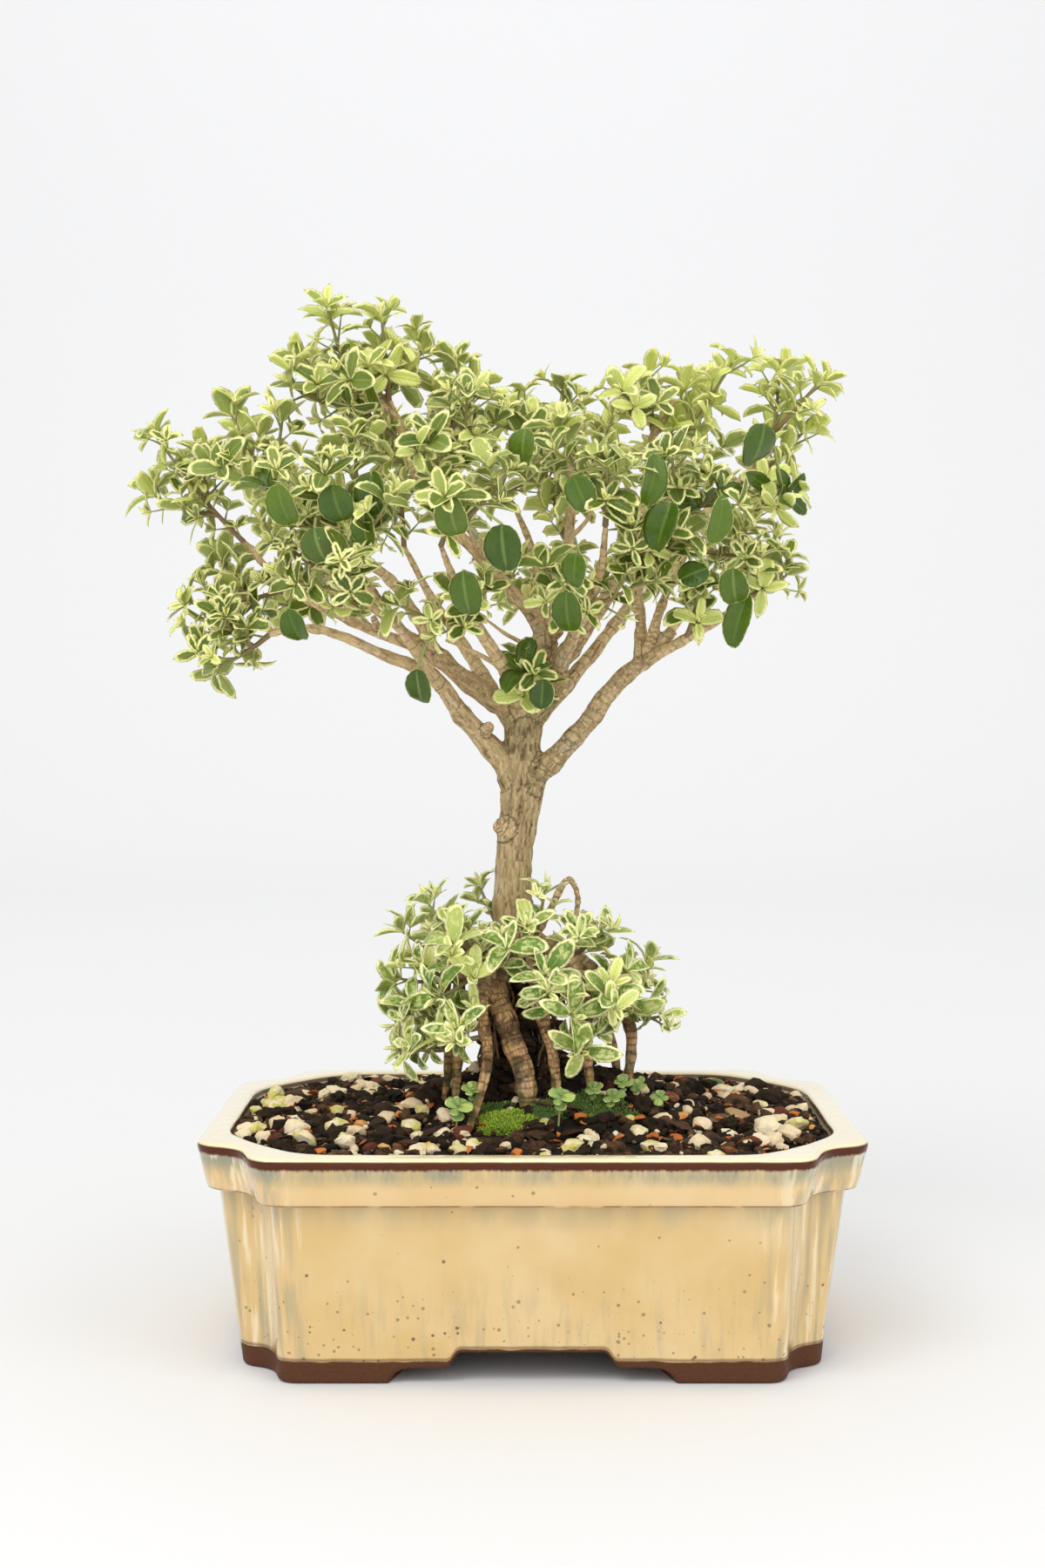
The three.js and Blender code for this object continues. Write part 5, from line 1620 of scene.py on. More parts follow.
SPRAYS: dict[str, list[Point]] = {
    "left_tip": [(-94, 3, 255), (-121, -4, 288), (-123, 6, 270), (-107, -2, 282)],
    "left_mid": [(-80, 6, 240), (-110, 0, 235), (-106, -8, 221), (-102, 10, 249)],
    "left_low": [(-83, -17, 224.6), (-101, -12, 214), (-97, -26, 229)],
    "upper_left": [(-75, -21, 261), (-98, 6, 296), (-80, -10, 292), (-96, -30, 275)],
    "crown_left": [(-42, 6, 288), (-75, 12, 316), (-65, 0, 326), (-77, -8, 304)],
    "crown": [(-46.5, 2, 301), (-48, -8, 324), (-36, 12, 318), (-57, -20, 304)],
    "crown_right": [(-27, -3, 284.5), (-24, 4, 311), (-18, -14, 300)],
    "mid_top": [(12, 0, 282.5), (10, -5, 303), (-5, 18, 298), (-11, -22, 290)],
    "top_centre": [(13, 4, 270), (27, 24, 298)],
    "top_right": [(39, -4, 290.5), (38, 2, 309), (29, -20, 300)],
    "right_long": [(37, -8, 277), (64, -8, 311), (56, 12, 303)],
    "right_crown": [(77.5, -3, 284), (81, 5, 309), (91, -8, 304)],
    "right_tip": [(62.5, -10, 270), (89, 10, 291), (80, -18, 268)],
    "right_mid": [(51.5, -0.5, 253), (76, -8, 250), (73, 12, 262)],
    "right_low": [(69, -16, 236.4), (81, -14, 243), (68, -28, 249)],
    "right_under": [(49, -15, 223), (52, -30, 237)],
    "front_left": [(-60, -16, 251.6), (-80, -46, 267), (-62, -58, 270)],
    "front_left_low": [(-49, -39, 237), (-76, -44, 241), (-54.6, -58, 245.2)],
    "front_mid_left": [(-56.5, -47.5, 247.5), (-43, -66, 261), (-54, -44, 283)],
    "front_mid": [(-24, -8, 268), (-31, -54, 280), (-20, -36, 296)],
    "front_mid_low": [(-17, -30, 226), (-40, -44, 232), (-14, -52, 236)],
    "front_centre": [(-27.5, -51.5, 250), (-24, -70, 262), (-8, -60, 270)],
    "front_low_right": [(15, -20, 228), (4, -52, 243), (34, -36, 240)],
    "front_right": [(22, -49.5, 256), (22, -62, 272), (8, -48, 284)],
    "front_right_out": [(46, -16, 255), (42, -52, 276), (57, -42, 267)],
    "front_right_low": [(31, -12, 246), (45, -44, 253), (30, -58, 254)],
    "rosette": [(0, -1, 203), (-3, -18, 212)],
    "back_left": [(-70, 37.6, 246.4), (-92, 42, 264), (-74, 56, 287.2)],
    "back_left_low": [(-54, 30, 235), (-70, 52, 246), (-86, 26, 236)],
    "back_mid_left": [(-44.5, 52.5, 257), (-48, 60, 300), (-58, 68, 268)],
    "back_mid": [(-5.5, 53.5, 271), (-20, 66, 293), (8, 66, 288)],
    "back_low": [(3, 33, 232), (-14, 62, 256), (14, 60, 254)],
    "back_top": [(-34, 6, 268), (-30, 34, 305), (-56, 30, 292)],
    "back_top_right": [(12, 8, 254), (0, 38, 300), (26, 44, 285)],
    "back_right": [(47.5, 45.7, 262), (42, 58, 286), (62, 44, 286)],
    "back_right_low": [(40, 41, 246), (38, 60, 254), (60, 40, 260)],
    "back_right_out": [(61.5, 29.5, 247), (76, 30, 270), (72, 22, 246.6)],
}

LARGE_LEAVES: list[tuple[str, Point, Point, float]] = [
    ("front_left", (-76, -56, 268), (-75, -57, 253), 8.6),
    ("front_left", (-59, -63, 267), (-58, -64, 254), 9.6),
    ("front_mid_left", (-48, -62, 271), (-47, -65, 258), 9),
    ("front_left_low", (-65, -58, 255), (-64, -60, 243), 8.6),
    ("front_left_low", (-74, -48, 231), (-71, -49, 219), 7.6),
    ("front_mid_left", (-50, -60, 260), (-51, -61, 249), 7),
    ("front_centre", (-24, -72, 263), (-24.5, -73, 250), 8),
    ("front_right", (-2, -58, 284), (-5, -60, 273), 8.6),
    ("front_centre", (-9, -74, 254.5), (-9, -75, 239), 9.6),
    ("front_mid_low", (-20.5, -66, 241.5), (-20, -67, 227), 8.8),
    ("front_right", (12, -62, 270), (16, -64, 258.5), 7.6),
    ("front_low_right", (13, -64, 247), (10.5, -65, 236), 7.6),
    ("front_low_right", (10, -60, 236), (9.5, -61, 221.5), 7.6),
    ("front_right_out", (36, -62, 276), (37, -67, 261), 8.4),
    ("front_right_low", (41, -62, 262), (35, -65, 247), 9.6),
    ("right_tip", (71, -40, 288), (70, -42, 273.5), 11),
    ("front_right_out", (57, -50, 265), (58, -52, 249.5), 8.2),
    ("front_right_low", (53, -52, 243), (43, -54, 240.5), 7.6),
    ("right_low", (61, -46, 243.5), (61, -47, 231), 8.4),
    ("right_low", (66, -40, 236.5), (60, -41, 219.5), 7.4),
    ("front_mid_low", (-36, -32, 213), (-35, -33, 200.5), 7.4),
    ("rosette", (3.5, -24, 210), (2.6, -25, 200.5), 6.4),
]

SUCKERS: dict[str, tuple[float, list[Point]]] = {
    "tall_left": (11, [(-19, -6, 119), (-33, -9, 137)]),
    "left_out": (11, [(-22, -4, 118), (-42, 2, 127)]),
    "left": (12, [(-27, -4, 112), (-42, -8, 113), (-43, -4, 99)]),
    "left_low": (12, [(-25, -14, 97), (-37, -22, 106), (-36, -20, 92)]),
    "front_left": (14, [(-15, -18, 114), (-24, -29, 126), (-28, -31, 111)]),
    "front": (13, [(-9, -12, 115), (-8, -30, 125)]),
    "front_mid": (13, [(2, -13, 112), (4, -32, 117), (12, -32, 105)]),
    "trunk_left": (10, [(-9, 4, 126), (-17, 10, 141)]),
    "trunk_right": (11, [(1, -5, 125), (4, -14, 141)]),
    "right": (12, [(13, -3, 119.5), (22, -7, 128)]),
    "right_out": (12, [(24, -3, 110), (37, -5, 118), (37, -12, 105)]),
    "right_low": (13, [(17, -15, 101), (24, -26, 109), (16, -31, 94)]),
    "back_left": (12, [(-20, 14, 117), (-30, 24, 126)]),
    "back": (12, [(-7, 19, 114), (-6, 32, 122)]),
    "back_right": (12, [(12, 18, 112), (18, 30, 120)]),
}

LOW_SHOOTS: list[tuple[float, list[Point]]] = [
    (10, [(-25, -16, 92), (-38, -25, 93)]), (10, [(-27, -7, 92), (-41, -15, 91)]),
    (11, [(-17, -25, 100), (-23, -37, 101)]), (11, [(-15, -25, 97), (-28, -33, 98)]),
    (9, [(30, -4, 100), (42, -9, 101)]), (8, [(-19, -12, 121), (-24, -17, 133)]),
    (10, [(19, -8, 112), (30, -20, 117)]), (10, [(25, 13, 104), (37, 16, 108)]),
    (10, [(-8, 29, 94), (-13, 41, 98)]), (10, [(15, 25, 96), (22, 37, 99)]),
    (10, [(-25, 19, 97), (-37, 26, 98)]), (11, [(-5, -11, 121), (-2, -23, 131)]),
    (10, [(-24, -9, 112), (-35, -17, 119)]), (9, [(9, -8, 121), (14, -19, 129)]),
]

SPRAY_YOUTH = {
    "right_long": 0.75, "right_crown": 0.5, "top_right": 0.35, "crown_left": 0.25, "right_tip": 0.3,
    "left_tip": 0.2,
}


@dataclass
class Foliage:
    """Every spray of the canopy and every sucker at the foot, each one piece of stems and blades."""

    canopy_size: float = 11.0
    canopy_seed: int = 1000
    sucker_seed: int = 3000
    own_seed: int = 500000
    canopy_habit: ShootHabit = ShootHabit(4.4, (3.5, 10.5), (0.55, 1.0), 13)
    sucker_habit: ShootHabit = ShootHabit(8.0, (3.0, 9.0), (0.55, 0.98), 4, 0.9)
    bud_share: float = 0.65
    plain_share: float = 0.3
    mould: BladeMould = field(init=False)
    small_mould: BladeMould = field(init=False)
    large_mould: BladeMould = field(init=False)

    def __post_init__(self) -> None:
        """Models the three blades that all the others copy."""
        self.mould = BladeMould(4, (0, 0.1, 0.28, 0.5, 0.72, 0.9, 1))
        self.small_mould = BladeMould(4, (0, 0.16, 0.45, 0.78, 1))
        self.large_mould = BladeMould(8, (0, 0.05, 0.15, 0.3, 0.45, 0.6, 0.75, 0.88, 0.96, 1))

    def hang(self, row: tuple[str, Point, Point, float], twigs: list[Twig]) -> tuple[Leaf, Route]:
        """Hangs a large leaf from a spray.

        Args:
            row: The spray's name, where the blade starts and ends, and its width.
            twigs: The spray's twigs.

        Returns:
            The leaf, and the route of its stalk.
        """
        _, base, tip, width = row
        start, end = np.array(base, float), np.array(tip, float)
        way = unit(end - start)
        side = unit(np.cross(way, (start[0] * 0.004, -1, 0.25)))
        normal = unit(np.cross(side, way))
        vary = Draws(int(1000 + 7 * start[0] + 13 * end[2]))
        roll = vary(-0.55, 0.55)
        normal = normal * math.cos(roll) + side * math.sin(roll)
        spots = [curve_point(twig.curve, t) for twig in twigs for t in (0.3, 0.5, 0.7, 0.85, 0.97)]
        anchor = min(spots, key=lambda spot: np.linalg.norm(spot - start))
        rise = (anchor + start) / 2 + (0, 0, 0.12 * np.linalg.norm(start - anchor))
        stalk = [(*anchor, 0.6), (*rise, 0.5), (*start, 0.45)]
        length = float(np.linalg.norm(end - start))
        leaf = Leaf(
            start, way, normal, length * vary(0.92, 1.08), width * vary(1.1, 1.35), vary(0.3, 1.3),
            vary(0.0, 0.35), vary(-0.1, 0.45), 0.22, vary(-0.5, 0.5),
        )
        return leaf, stalk

    def stems(self, name: str, routes: list[Route], youths: list[float], copies: Copies) -> None:
        """Adds the stems of a piece, older and browner at the foot.

        Args:
            name: The piece's name.
            routes: Points and radii of each stem.
            youths: How young each is.
            copies: What they are added to.
        """
        for route, youth in zip(routes, youths):
            pattern = Pattern(tubes(f"{name}_stem", [route]))
            middles = placed(np.array(route, float)[:, :3])
            gaps = np.linalg.norm(pattern.points[:, None] - middles[None], axis=2)
            share = np.argmin(gaps, axis=1) / (len(route) - 1)
            copies.add(pattern, pattern.points, youth=np.clip(youth + share * 0.7 - 0.1, 0, 1), tint=0.5)

    def piece(
        self, name: str, twigs: list[Twig], hanging: list[tuple[Leaf, Route]], size: float, shape: BladeShape,
        habit: ShootHabit, seed: int, youth: float,
    ) -> Object:
        """Joins a spray's stems and blades into one object.

        Args:
            name: The object's name.
            twigs: The twigs that the part's source has too.
            hanging: Large leaves with their stalks.
            size: Length of a leaf in millimetres.
            shape: Outline of the small leaves.
            habit: How side shoots grow.
            seed: Seed of the side shoots.
            youth: How young and yellow the piece is.

        Returns:
            The object, with the stem as its first material, small leaves second and large leaves third.
        """
        draws = Draws(seed)
        copies = Copies()
        shoots = [shoot for twig in twigs for shoot in side_shoots(twig, size, habit, draws)]
        routes = [twig.route() for twig in twigs + shoots] + [stalk for _, stalk in hanging]
        youths = [twig.youth for twig in twigs + shoots] + [0.8 for _ in hanging]
        self.stems(name, routes, youths, copies)
        for twig in twigs + shoots:
            mould = self.small_mould if twig.youth else self.mould
            height = 0.35 * float(smoothstep(262, 318, twig.curve[2][2]))
            age, shade = draws(-0.45, 0.65) + height, draws()
            plain = bool(hanging) and not twig.youth and draws() < self.plain_share
            for i, leaf in enumerate(twig.leaves):
                near_tip = 0.2 if i >= len(twig.leaves) - 4 else 0.0
                young = youth + age * (0.4 + twig.youth) + near_tip + draws(-0.2, 0.12)
                leaf.youth = min(1.0, max(0.0, young))
                leaf.cup = draws(0.05, 0.6)
                leaf.twist = draws(-0.5, 0.5)
                leaf.curl += draws(-0.2, 0.8)
                leaf.width *= draws(0.9, 1.2) if shape is BladeShape.LANCE else draws(0.75, 1.05)
                if plain:
                    leaf.youth, leaf.width = 0.1, leaf.width * 1.2
                mould.press(copies, leaf, shape, 2 if plain else 1, 0.5 * shade + draws(0, 0.5))
            if draws() < self.bud_share:
                self.bud(copies, twig, size, shape, youth, draws)
        for leaf, _ in hanging:
            self.large_mould.press(copies, leaf, BladeShape.OVAL, 2, draws(), 0.2)
        return copies.joined(name)

    def bud(
        self, copies: Copies, twig: Twig, size: float, shape: BladeShape, youth: float, draws: Draws,
    ) -> None:
        """Adds the folded young pair that ends a twig.

        Args:
            copies: What it is added to.
            twig: The twig.
            size: Length of the piece's leaves.
            shape: Their outline.
            youth: How young the piece is.
            draws: The seeded source.
        """
        way = unit(twig.tip - twig.curve[2])
        across = square_to(way, draws(0, math.pi))
        for leaf in leaves_at(twig.tip - way * 1.2, way, across, 2, size * draws(0.32, 0.5), 26, draws):
            leaf.youth = min(1.0, youth + draws(0.35, 0.75))
            leaf.curl, leaf.cup = draws(-0.3, 0.5), draws(0.4, 0.9)
            leaf.width *= 0.8
            self.small_mould.press(copies, leaf, shape, 1, draws())

    def dress(self) -> list[Object]:
        """Grows every spray and sucker and gives them their finishes.

        Returns:
            The pieces.
        """
        twig_finish = StemFinish("canopy_stem", (0.30, 0.36, 0.10), (0.33, 0.215, 0.11)).material()
        shoot_finish = StemFinish("sucker_stem", (0.36, 0.42, 0.17), (0.30, 0.22, 0.11)).material()
        tones = (LeafTone.CANOPY, LeafTone.LARGE, LeafTone.SUCKER)
        canopy, large, sucker = (LeafFinish(tone).material() for tone in tones)
        pieces = []
        for i, (name, points) in enumerate(SPRAYS.items()):
            twigs = grow_spray(points, self.canopy_size, self.canopy_seed + i)
            hanging = [self.hang(row, twigs) for row in LARGE_LEAVES if row[0] == name]
            obj = self.piece(
                f"spray_{name}_leaves", twigs, hanging, self.canopy_size, BladeShape.LANCE, self.canopy_habit,
                self.own_seed + i, SPRAY_YOUTH.get(name, 0.1),
            )
            pieces.append(finish_piece(obj, [twig_finish, canopy, large], (f"spray_{name}",)))
        suckers = [(f"sucker_{name}", *row) for name, row in SUCKERS.items()]
        low = [(f"low_shoot_{i}", *row) for i, row in enumerate(LOW_SHOOTS)]
        for i, (name, size, points) in enumerate(suckers + low):
            twigs = grow_spray(points, size, self.sucker_seed + i)
            obj = self.piece(
                f"{name}_leaves", twigs, [], size, BladeShape.SPEAR, self.sucker_habit,
                self.own_seed + 100 + i, 0.12,
            )
            replaces = (name,) if i < len(suckers) else ()
            pieces.append(finish_piece(obj, [shoot_finish, sucker], replaces))
        return pieces


# The soil and what lies on it


def soil_height(x: Array | float, y: Array | float) -> Array | float:
    """Height of the soil: level by the walls, mounded under the tree, highest inside the roots."""
    far = ((x - 6) / 42) ** 2 + ((y - 3) / 31) ** 2
    near = ((x + 4) ** 2 + (y - 1) ** 2) / 13**2
    ripple = 0.7 * np.sin(x * 0.21 + 1) * np.cos(y * 0.26)
    return 66.5 + 17 * np.exp(-far) + 9 * np.exp(-near) + ripple


@dataclass
class Lump:
    """A faceted or rounded lump that granules are copied from."""

    detail: int
    roughness: float
    flat: float
    seed: int
    shrink: float = 0.0
    grain: float = 1.1
    octaves: int = 2

    def model(self) -> Pattern:
        """Models the lump as a ball of unit radius, worn into an uneven shape.

        Returns:
            The shape.
        """
        ball = primitive("ico_sphere", subdivisions=self.detail, radius=1)
        points = points_of(ball)
        swell = bumps(points, self.grain, 17.0 * self.seed, self.octaves)
        points = points * (1 + self.roughness * swell)[:, None]
        if self.shrink:
            planes = Draws(self.seed)
            for _ in range(5):
                normal = unit(np.array([planes(-1, 1) for _ in range(3)]))
                over = np.clip(points @ normal - self.shrink, 0, None)
                points = points - over[:, None] * normal
        points[:, 2] *= self.flat
        set_points(ball, points)
        return Pattern(ball)


@dataclass(frozen=True)
class Gravel:
    """One kind of granule: its name, finish, number, size range, how it is shaped and where it lies."""

    name: str
    finish: Earth
    count: int
    sizes: Pair
    lumps: tuple[Lump, ...]
    stretch: Pair = (1.0, 1.5)
    sink: float = 0.25
    seed: int = 1


CRUMBS = tuple(Lump(2, 0.55, 0.8, 40 + i) for i in range(6))
PEBBLES = tuple(Lump(3, 0.32, 0.85, 50 + i, 0.84, 0.8, 3) for i in range(6))
SMALL_PEBBLES = tuple(Lump(2, 0.36, 0.85, 55 + i, 0.78, 0.9, 2) for i in range(6))
CLODS = tuple(Lump(3, 0.62, 0.85, 80 + i, 0.0, 0.6, 3) for i in range(5))
GRITS = tuple(Lump(1, 0.35, 0.85, 60 + i) for i in range(5))
CHIPS = tuple(Lump(2, 0.25, 0.28, 70 + i, 0.6) for i in range(4))

GROUND = Earth("soil_bed", (0.008, 0.006, 0.004), (0.036, 0.025, 0.017), (0.06, 0.035, 0.02), 0.6, 0.5, 1.0)
CRUMB = Earth("soil_crumb", (0.009, 0.006, 0.004), (0.06, 0.036, 0.019), (0.13, 0.065, 0.028), 0.5, 0.5, 0.95)
GRIT = Earth("grit", (0.10, 0.065, 0.04), (0.46, 0.37, 0.24), (0.42, 0.15, 0.05), 0.6, 0.25)
PUMICE = Earth("pumice", (0.82, 0.61, 0.36), (1.0, 0.92, 0.68), (0.66, 0.60, 0.16), 0.8, 0.3, 0.9)
LAVA = Earth("lava", (0.09, 0.025, 0.014), (0.19, 0.06, 0.032), (0.30, 0.12, 0.05), 0.9, 0.75, 0.95)
FIRED_CLAY = Earth("fired_clay", (0.50, 0.12, 0.025), (0.80, 0.27, 0.06), (0.74, 0.42, 0.14), 0.8, 0.2, 0.8)
CHIP = Earth("bark_chip", (0.018, 0.010, 0.006), (0.13, 0.07, 0.035), (0.20, 0.12, 0.06), 0.7, 0.5, 0.9)
HUSK = Earth("husk", (0.36, 0.20, 0.09), (0.62, 0.42, 0.22), (0.50, 0.30, 0.14), 0.6, 0.25, 0.7)

GRAVELS = [
    Gravel("soil_crumbs", CRUMB, 2350, (0.7, 2.3), CRUMBS, sink=0.1, seed=3),
    Gravel("soil_clods", CRUMB, 95, (2.5, 4.1), CLODS, sink=0.3, seed=4),
    Gravel("fine_grit", GRIT, 700, (0.4, 1.0), GRITS, sink=-0.2, seed=5),
    Gravel("pumice_gravel", PUMICE, 75, (2.2, 3.5), PEBBLES, sink=-0.1, seed=7),
    Gravel("pumice_grains", PUMICE, 190, (0.9, 2.1), SMALL_PEBBLES, sink=-0.1, seed=8),
    Gravel("lava_gravel", LAVA, 34, (1.4, 2.8), PEBBLES, sink=-0.05, seed=9),
    Gravel("fired_clay_bits", FIRED_CLAY, 330, (0.7, 2.5), CHIPS + GRITS[:2], sink=-0.25, seed=11),
    Gravel("bark_chips", CHIP, 90, (1.6, 3.8), CHIPS, (1.3, 2.6), sink=-0.15, seed=13),
]


SHOWN_STONES: list[Point] = [
    (12, -57, 4.4), (23, -58, 3.4), (39, -57, 3.8), (51, -52, 4.8), (70, -46, 4.2), (80, -38, 4.8),
    (74, -30, 6.2), (84, -21, 4.4), (61, -35, 3.4), (-74, -31, 5.4), (-70, -43, 4.8), (-57, -51, 4.2),
    (-62, -25, 3.8), (-30, -57, 3.2), (3, -58, 3.2), (-80, 12, 4.6), (-66, 30, 4.2), (66, 34, 4.4),
    (30, 52, 4.0), (-20, 54, 4.4),
]


@dataclass(frozen=True)
class Litter:
    """One larger thing that lies on the soil: its finish, place, half sizes, and how it is turned."""

    name: str
    finish: Earth
    middle: Point
    half: Point
    tip: float
    turn: float
    tint: float = 0.4


LITTER = [
    Litter("bark_strip", CHIP, (8.7, -27.0, 75.6), (8.6, 1.7, 0.9), 0.16, 0.10, 0.75),
    Litter("dark_chip", CHIP, (-72.0, -22.0, 68.4), (4.6, 3.0, 1.0), -0.2, 0.5, 0.1),
    Litter("seed_husk", HUSK, (65.8, -16.0, 70.2), (5.6, 3.2, 1.5), 0.25, -0.5),
    Litter("bark_flake_front", CHIP, (-38.0, -52.0, 69.2), (5.0, 2.2, 0.7), 0.1, 2.2, 0.5),
    Litter("bark_flake_right", CHIP, (48.0, -50.0, 69.0), (4.4, 2.0, 0.7), -0.12, 0.9, 0.6),
]


@dataclass
class Soil:
    """The bed of soil in the pot, with crumbs, grit, pumice, lava, clay and bark scattered over it."""

    pot: Pot
    rings: int = 46
    wall_gap: float = 0.4
    stone_count: int = 26
    stone_radius: Pair = (2.6, 4.6)
    stone_seed: int = 71
    stone_corner: float = 4.27
    fallen_leaf: tuple[Point, Point, float] = ((57, 46, 68.6), (67, 43, 71.6), 4.6)

    def outline(self, z: float, offset: float) -> Array:
        """The pot's inside at a height, drawn in by an offset."""
        return self.pot.outline(self.pot.inner(z, offset))

    def bed(self) -> Object:
        """The bed itself, from the pot's floor to its lumpy surface.

        Returns:
            The object.
        """
        foot = self.outline(self.pot.floor_top + 1, self.wall_gap + 1.5)
        edge = self.outline(66.5, self.wall_gap)
        low = self.pot.floor_top + 1.6
        levels = ((foot * 0.02, low), (foot, low), (edge, 64.0))
        rings = [np.c_[flat, np.full(len(flat), z)] for flat, z in levels]
        for share in np.linspace(1, 0.012, self.rings):
            flat = edge * share
            level = soil_height(flat[:, 0], flat[:, 1]) - 0.5
            lumps = bumps(np.c_[flat, level], 3.2, 2.0, 3) * 0.9 * smoothstep(0, 0.05, 1.02 - share)
            rings.append(np.c_[flat, level + lumps])
        bed = lofted("soil_bed", np.array(rings))
        write_values(bed, "tint", np.full(len(bed.data.vertices), 0.3))
        return bed

    def inside(self, x: float, y: float, margin: float) -> bool:
        """True if a granule of that size stays clear of the pot's wall."""
        return self.pot.inner(67, self.wall_gap + margin).holds(x, y)

    def scatter(self, gravel: Gravel) -> Object:
        """Scatters one kind of granule over the bed.

        Args:
            gravel: The kind.

        Returns:
            One object of all its granules.
        """
        draws = Draws(gravel.seed)
        patterns = [lump.model() for lump in gravel.lumps]
        copies = Copies()
        while len(copies.rows) < gravel.count:
            x, y = draws(-94, 94), draws(-69, 69)
            size = gravel.sizes[0] + (gravel.sizes[1] - gravel.sizes[0]) * draws() ** 1.6
            stretch = draws(*gravel.stretch)
            turn, tip, roll = draws(0, 2 * math.pi), draws(-0.5, 0.5), draws(-0.5, 0.5)
            pattern, tint = patterns[int(draws(0, len(patterns) - 0.01))], draws()
            if not self.inside(x, y, 0.75 * size * stretch) or not self.belongs(gravel, x, y, draws()):
                continue
            z = soil_height(x, y) - 0.3 + size * (0.45 - gravel.sink * 0.6)
            points = pattern.points * (size * stretch, size, size * 0.9)
            copies.add(pattern, placed(points @ rotation(tip, roll, turn).T + (x, y, z)), tint=tint)
        return copies.joined(gravel.name)

    def stones(self) -> Object:
        """The larger stones: each where the part's source has one, with its draws, and each of SHOWN_STONES.

        Returns:
            One object of all the stones.
        """
        draws = Draws(self.stone_seed)
        patterns = [lump.model() for lump in PEBBLES]
        copies = Copies()
        cut_x, cut_y = self.pot.inside_cut
        while len(copies.rows) < self.stone_count:
            x, y, radius = draws(-86, 86), draws(-60, 60), draws(*self.stone_radius)
            turn, tip, stretch = draws(0, math.pi), draws(-0.4, 0.4), draws(1, 1.5)
            near_roots = math.hypot((x + 2) / 36, y / 38) < 1
            if near_roots or abs(x) / cut_x + abs(y) / cut_y > self.stone_corner:
                continue
            i = len(copies.rows)
            pattern = patterns[i % len(patterns)]
            points = pattern.points * (stretch, 1, 0.8) * radius * 0.8
            points = points @ rotation(tip, tip, turn).T + (x, y, soil_height(x, y) + 0.15 * radius)
            copies.add(pattern, self.pulled_in(points), 1 if i % 7 == 3 else 0, tint=(0.37 * i) % 1.0)
        for i, (x, y, radius) in enumerate(SHOWN_STONES):
            pattern = patterns[(i * 5 + 2) % len(patterns)]
            points = pattern.points * (draws(1.0, 1.35), 1, 0.85) * radius * 0.75
            turned = rotation(draws(-0.6, 0.6), draws(-0.6, 0.6), draws(0, math.pi))
            points = points @ turned.T + (x, y, soil_height(x, y) + 0.35 * radius)
            copies.add(pattern, self.pulled_in(points), tint=draws(0.2, 1))
        return copies.joined("large_stones")

    def pulled_in(self, points: Array) -> Array:
        """Points in the part's frame, drawn in to stay clear of the pot's long and short walls."""
        plan = self.pot.inner(67, self.wall_gap)
        limit = np.array((plan.half_x, plan.half_y))
        return placed(np.c_[np.clip(points[:, :2], -limit, limit), points[:, 2]])

    def litter(self) -> list[Object]:
        """The few larger things that lie on the soil, and one fallen leaf.

        Returns:
            The pieces.
        """
        pieces = []
        for i, thing in enumerate(LITTER):
            pattern = CHIPS[i % len(CHIPS)].model()
            points = (pattern.points / (1, 1, 0.28) * thing.half) @ rotation(thing.tip, 0.1, thing.turn).T
            copies = Copies()
            copies.add(pattern, placed(points + thing.middle), tint=thing.tint)
            pieces.append(finish_piece(copies.joined(thing.name), [thing.finish.material()], (), 40))
        start, end, width = self.fallen_leaf
        way = unit(np.subtract(end, start))
        leaf = Leaf(np.array(start, float), way, unit(np.cross(way, (0, 1, 0.4))), 11.0, width, 0.4, 0.1, 0.2)
        copies = Copies()
        BladeMould(6, (0, 0.1, 0.3, 0.5, 0.7, 0.9, 1)).press(copies, leaf, BladeShape.OVAL, 0, 0.6)
        finish = LeafFinish(LeafTone.LARGE).material()
        return pieces + [finish_piece(copies.joined("fallen_leaf"), [finish])]

    @staticmethod
    def belongs(gravel: Gravel, x: float, y: float, chance: float) -> bool:
        """Whether a granule lies at a place: the mound is mostly soil, the ground by the wall gravel.

        Args:
            gravel: Its kind.
            x: Its place along the pot.
            y: Its place across the pot.
            chance: A draw from 0 to 1.

        Returns:
            True where it lies there.
        """
        mound = math.exp(-(((x - 4) / 40) ** 2) - ((y - 2) / 34) ** 2)
        patch = noise.noise(Vector((x / 17, y / 17, gravel.seed * 3.1)))
        return gravel.finish in (CRUMB, GRIT) or chance > mound * 1.05 - 0.1 + 0.35 * patch

    def dress(self) -> list[Object]:
        """Builds the bed and what lies on it and gives them their finishes.

        Returns:
            The pieces.
        """
        pieces = [finish_piece(self.bed(), [GROUND.material()], ("soil_and_gravel",))]
        for gravel in GRAVELS:
            granules = self.scatter(gravel)
            pieces.append(finish_piece(granules, [gravel.finish.material()], (), 35))
        pieces.append(finish_piece(self.stones(), [PUMICE.material(), LAVA.material()], (), 35))
        return pieces + self.litter()


def rotation(tip: float, roll: float, turn: float) -> Array:
    """A turning matrix.

    Args:
        tip: The angle about y, turned second.
        roll: The angle about x, turned first.
        turn: The angle about z, turned last.

    Returns:
        The matrix.
    """
    (cx, sx), (cy, sy), (cz, sz) = ((math.cos(a), math.sin(a)) for a in (roll, tip, turn))
    about_x = np.array([[1, 0, 0], [0, cx, -sx], [0, sx, cx]])
    about_y = np.array([[cy, 0, sy], [0, 1, 0], [-sy, 0, cy]])
    about_z = np.array([[cz, -sz, 0], [sz, cz, 0], [0, 0, 1]])
    return about_z @ about_y @ about_x


# Moss and seedlings


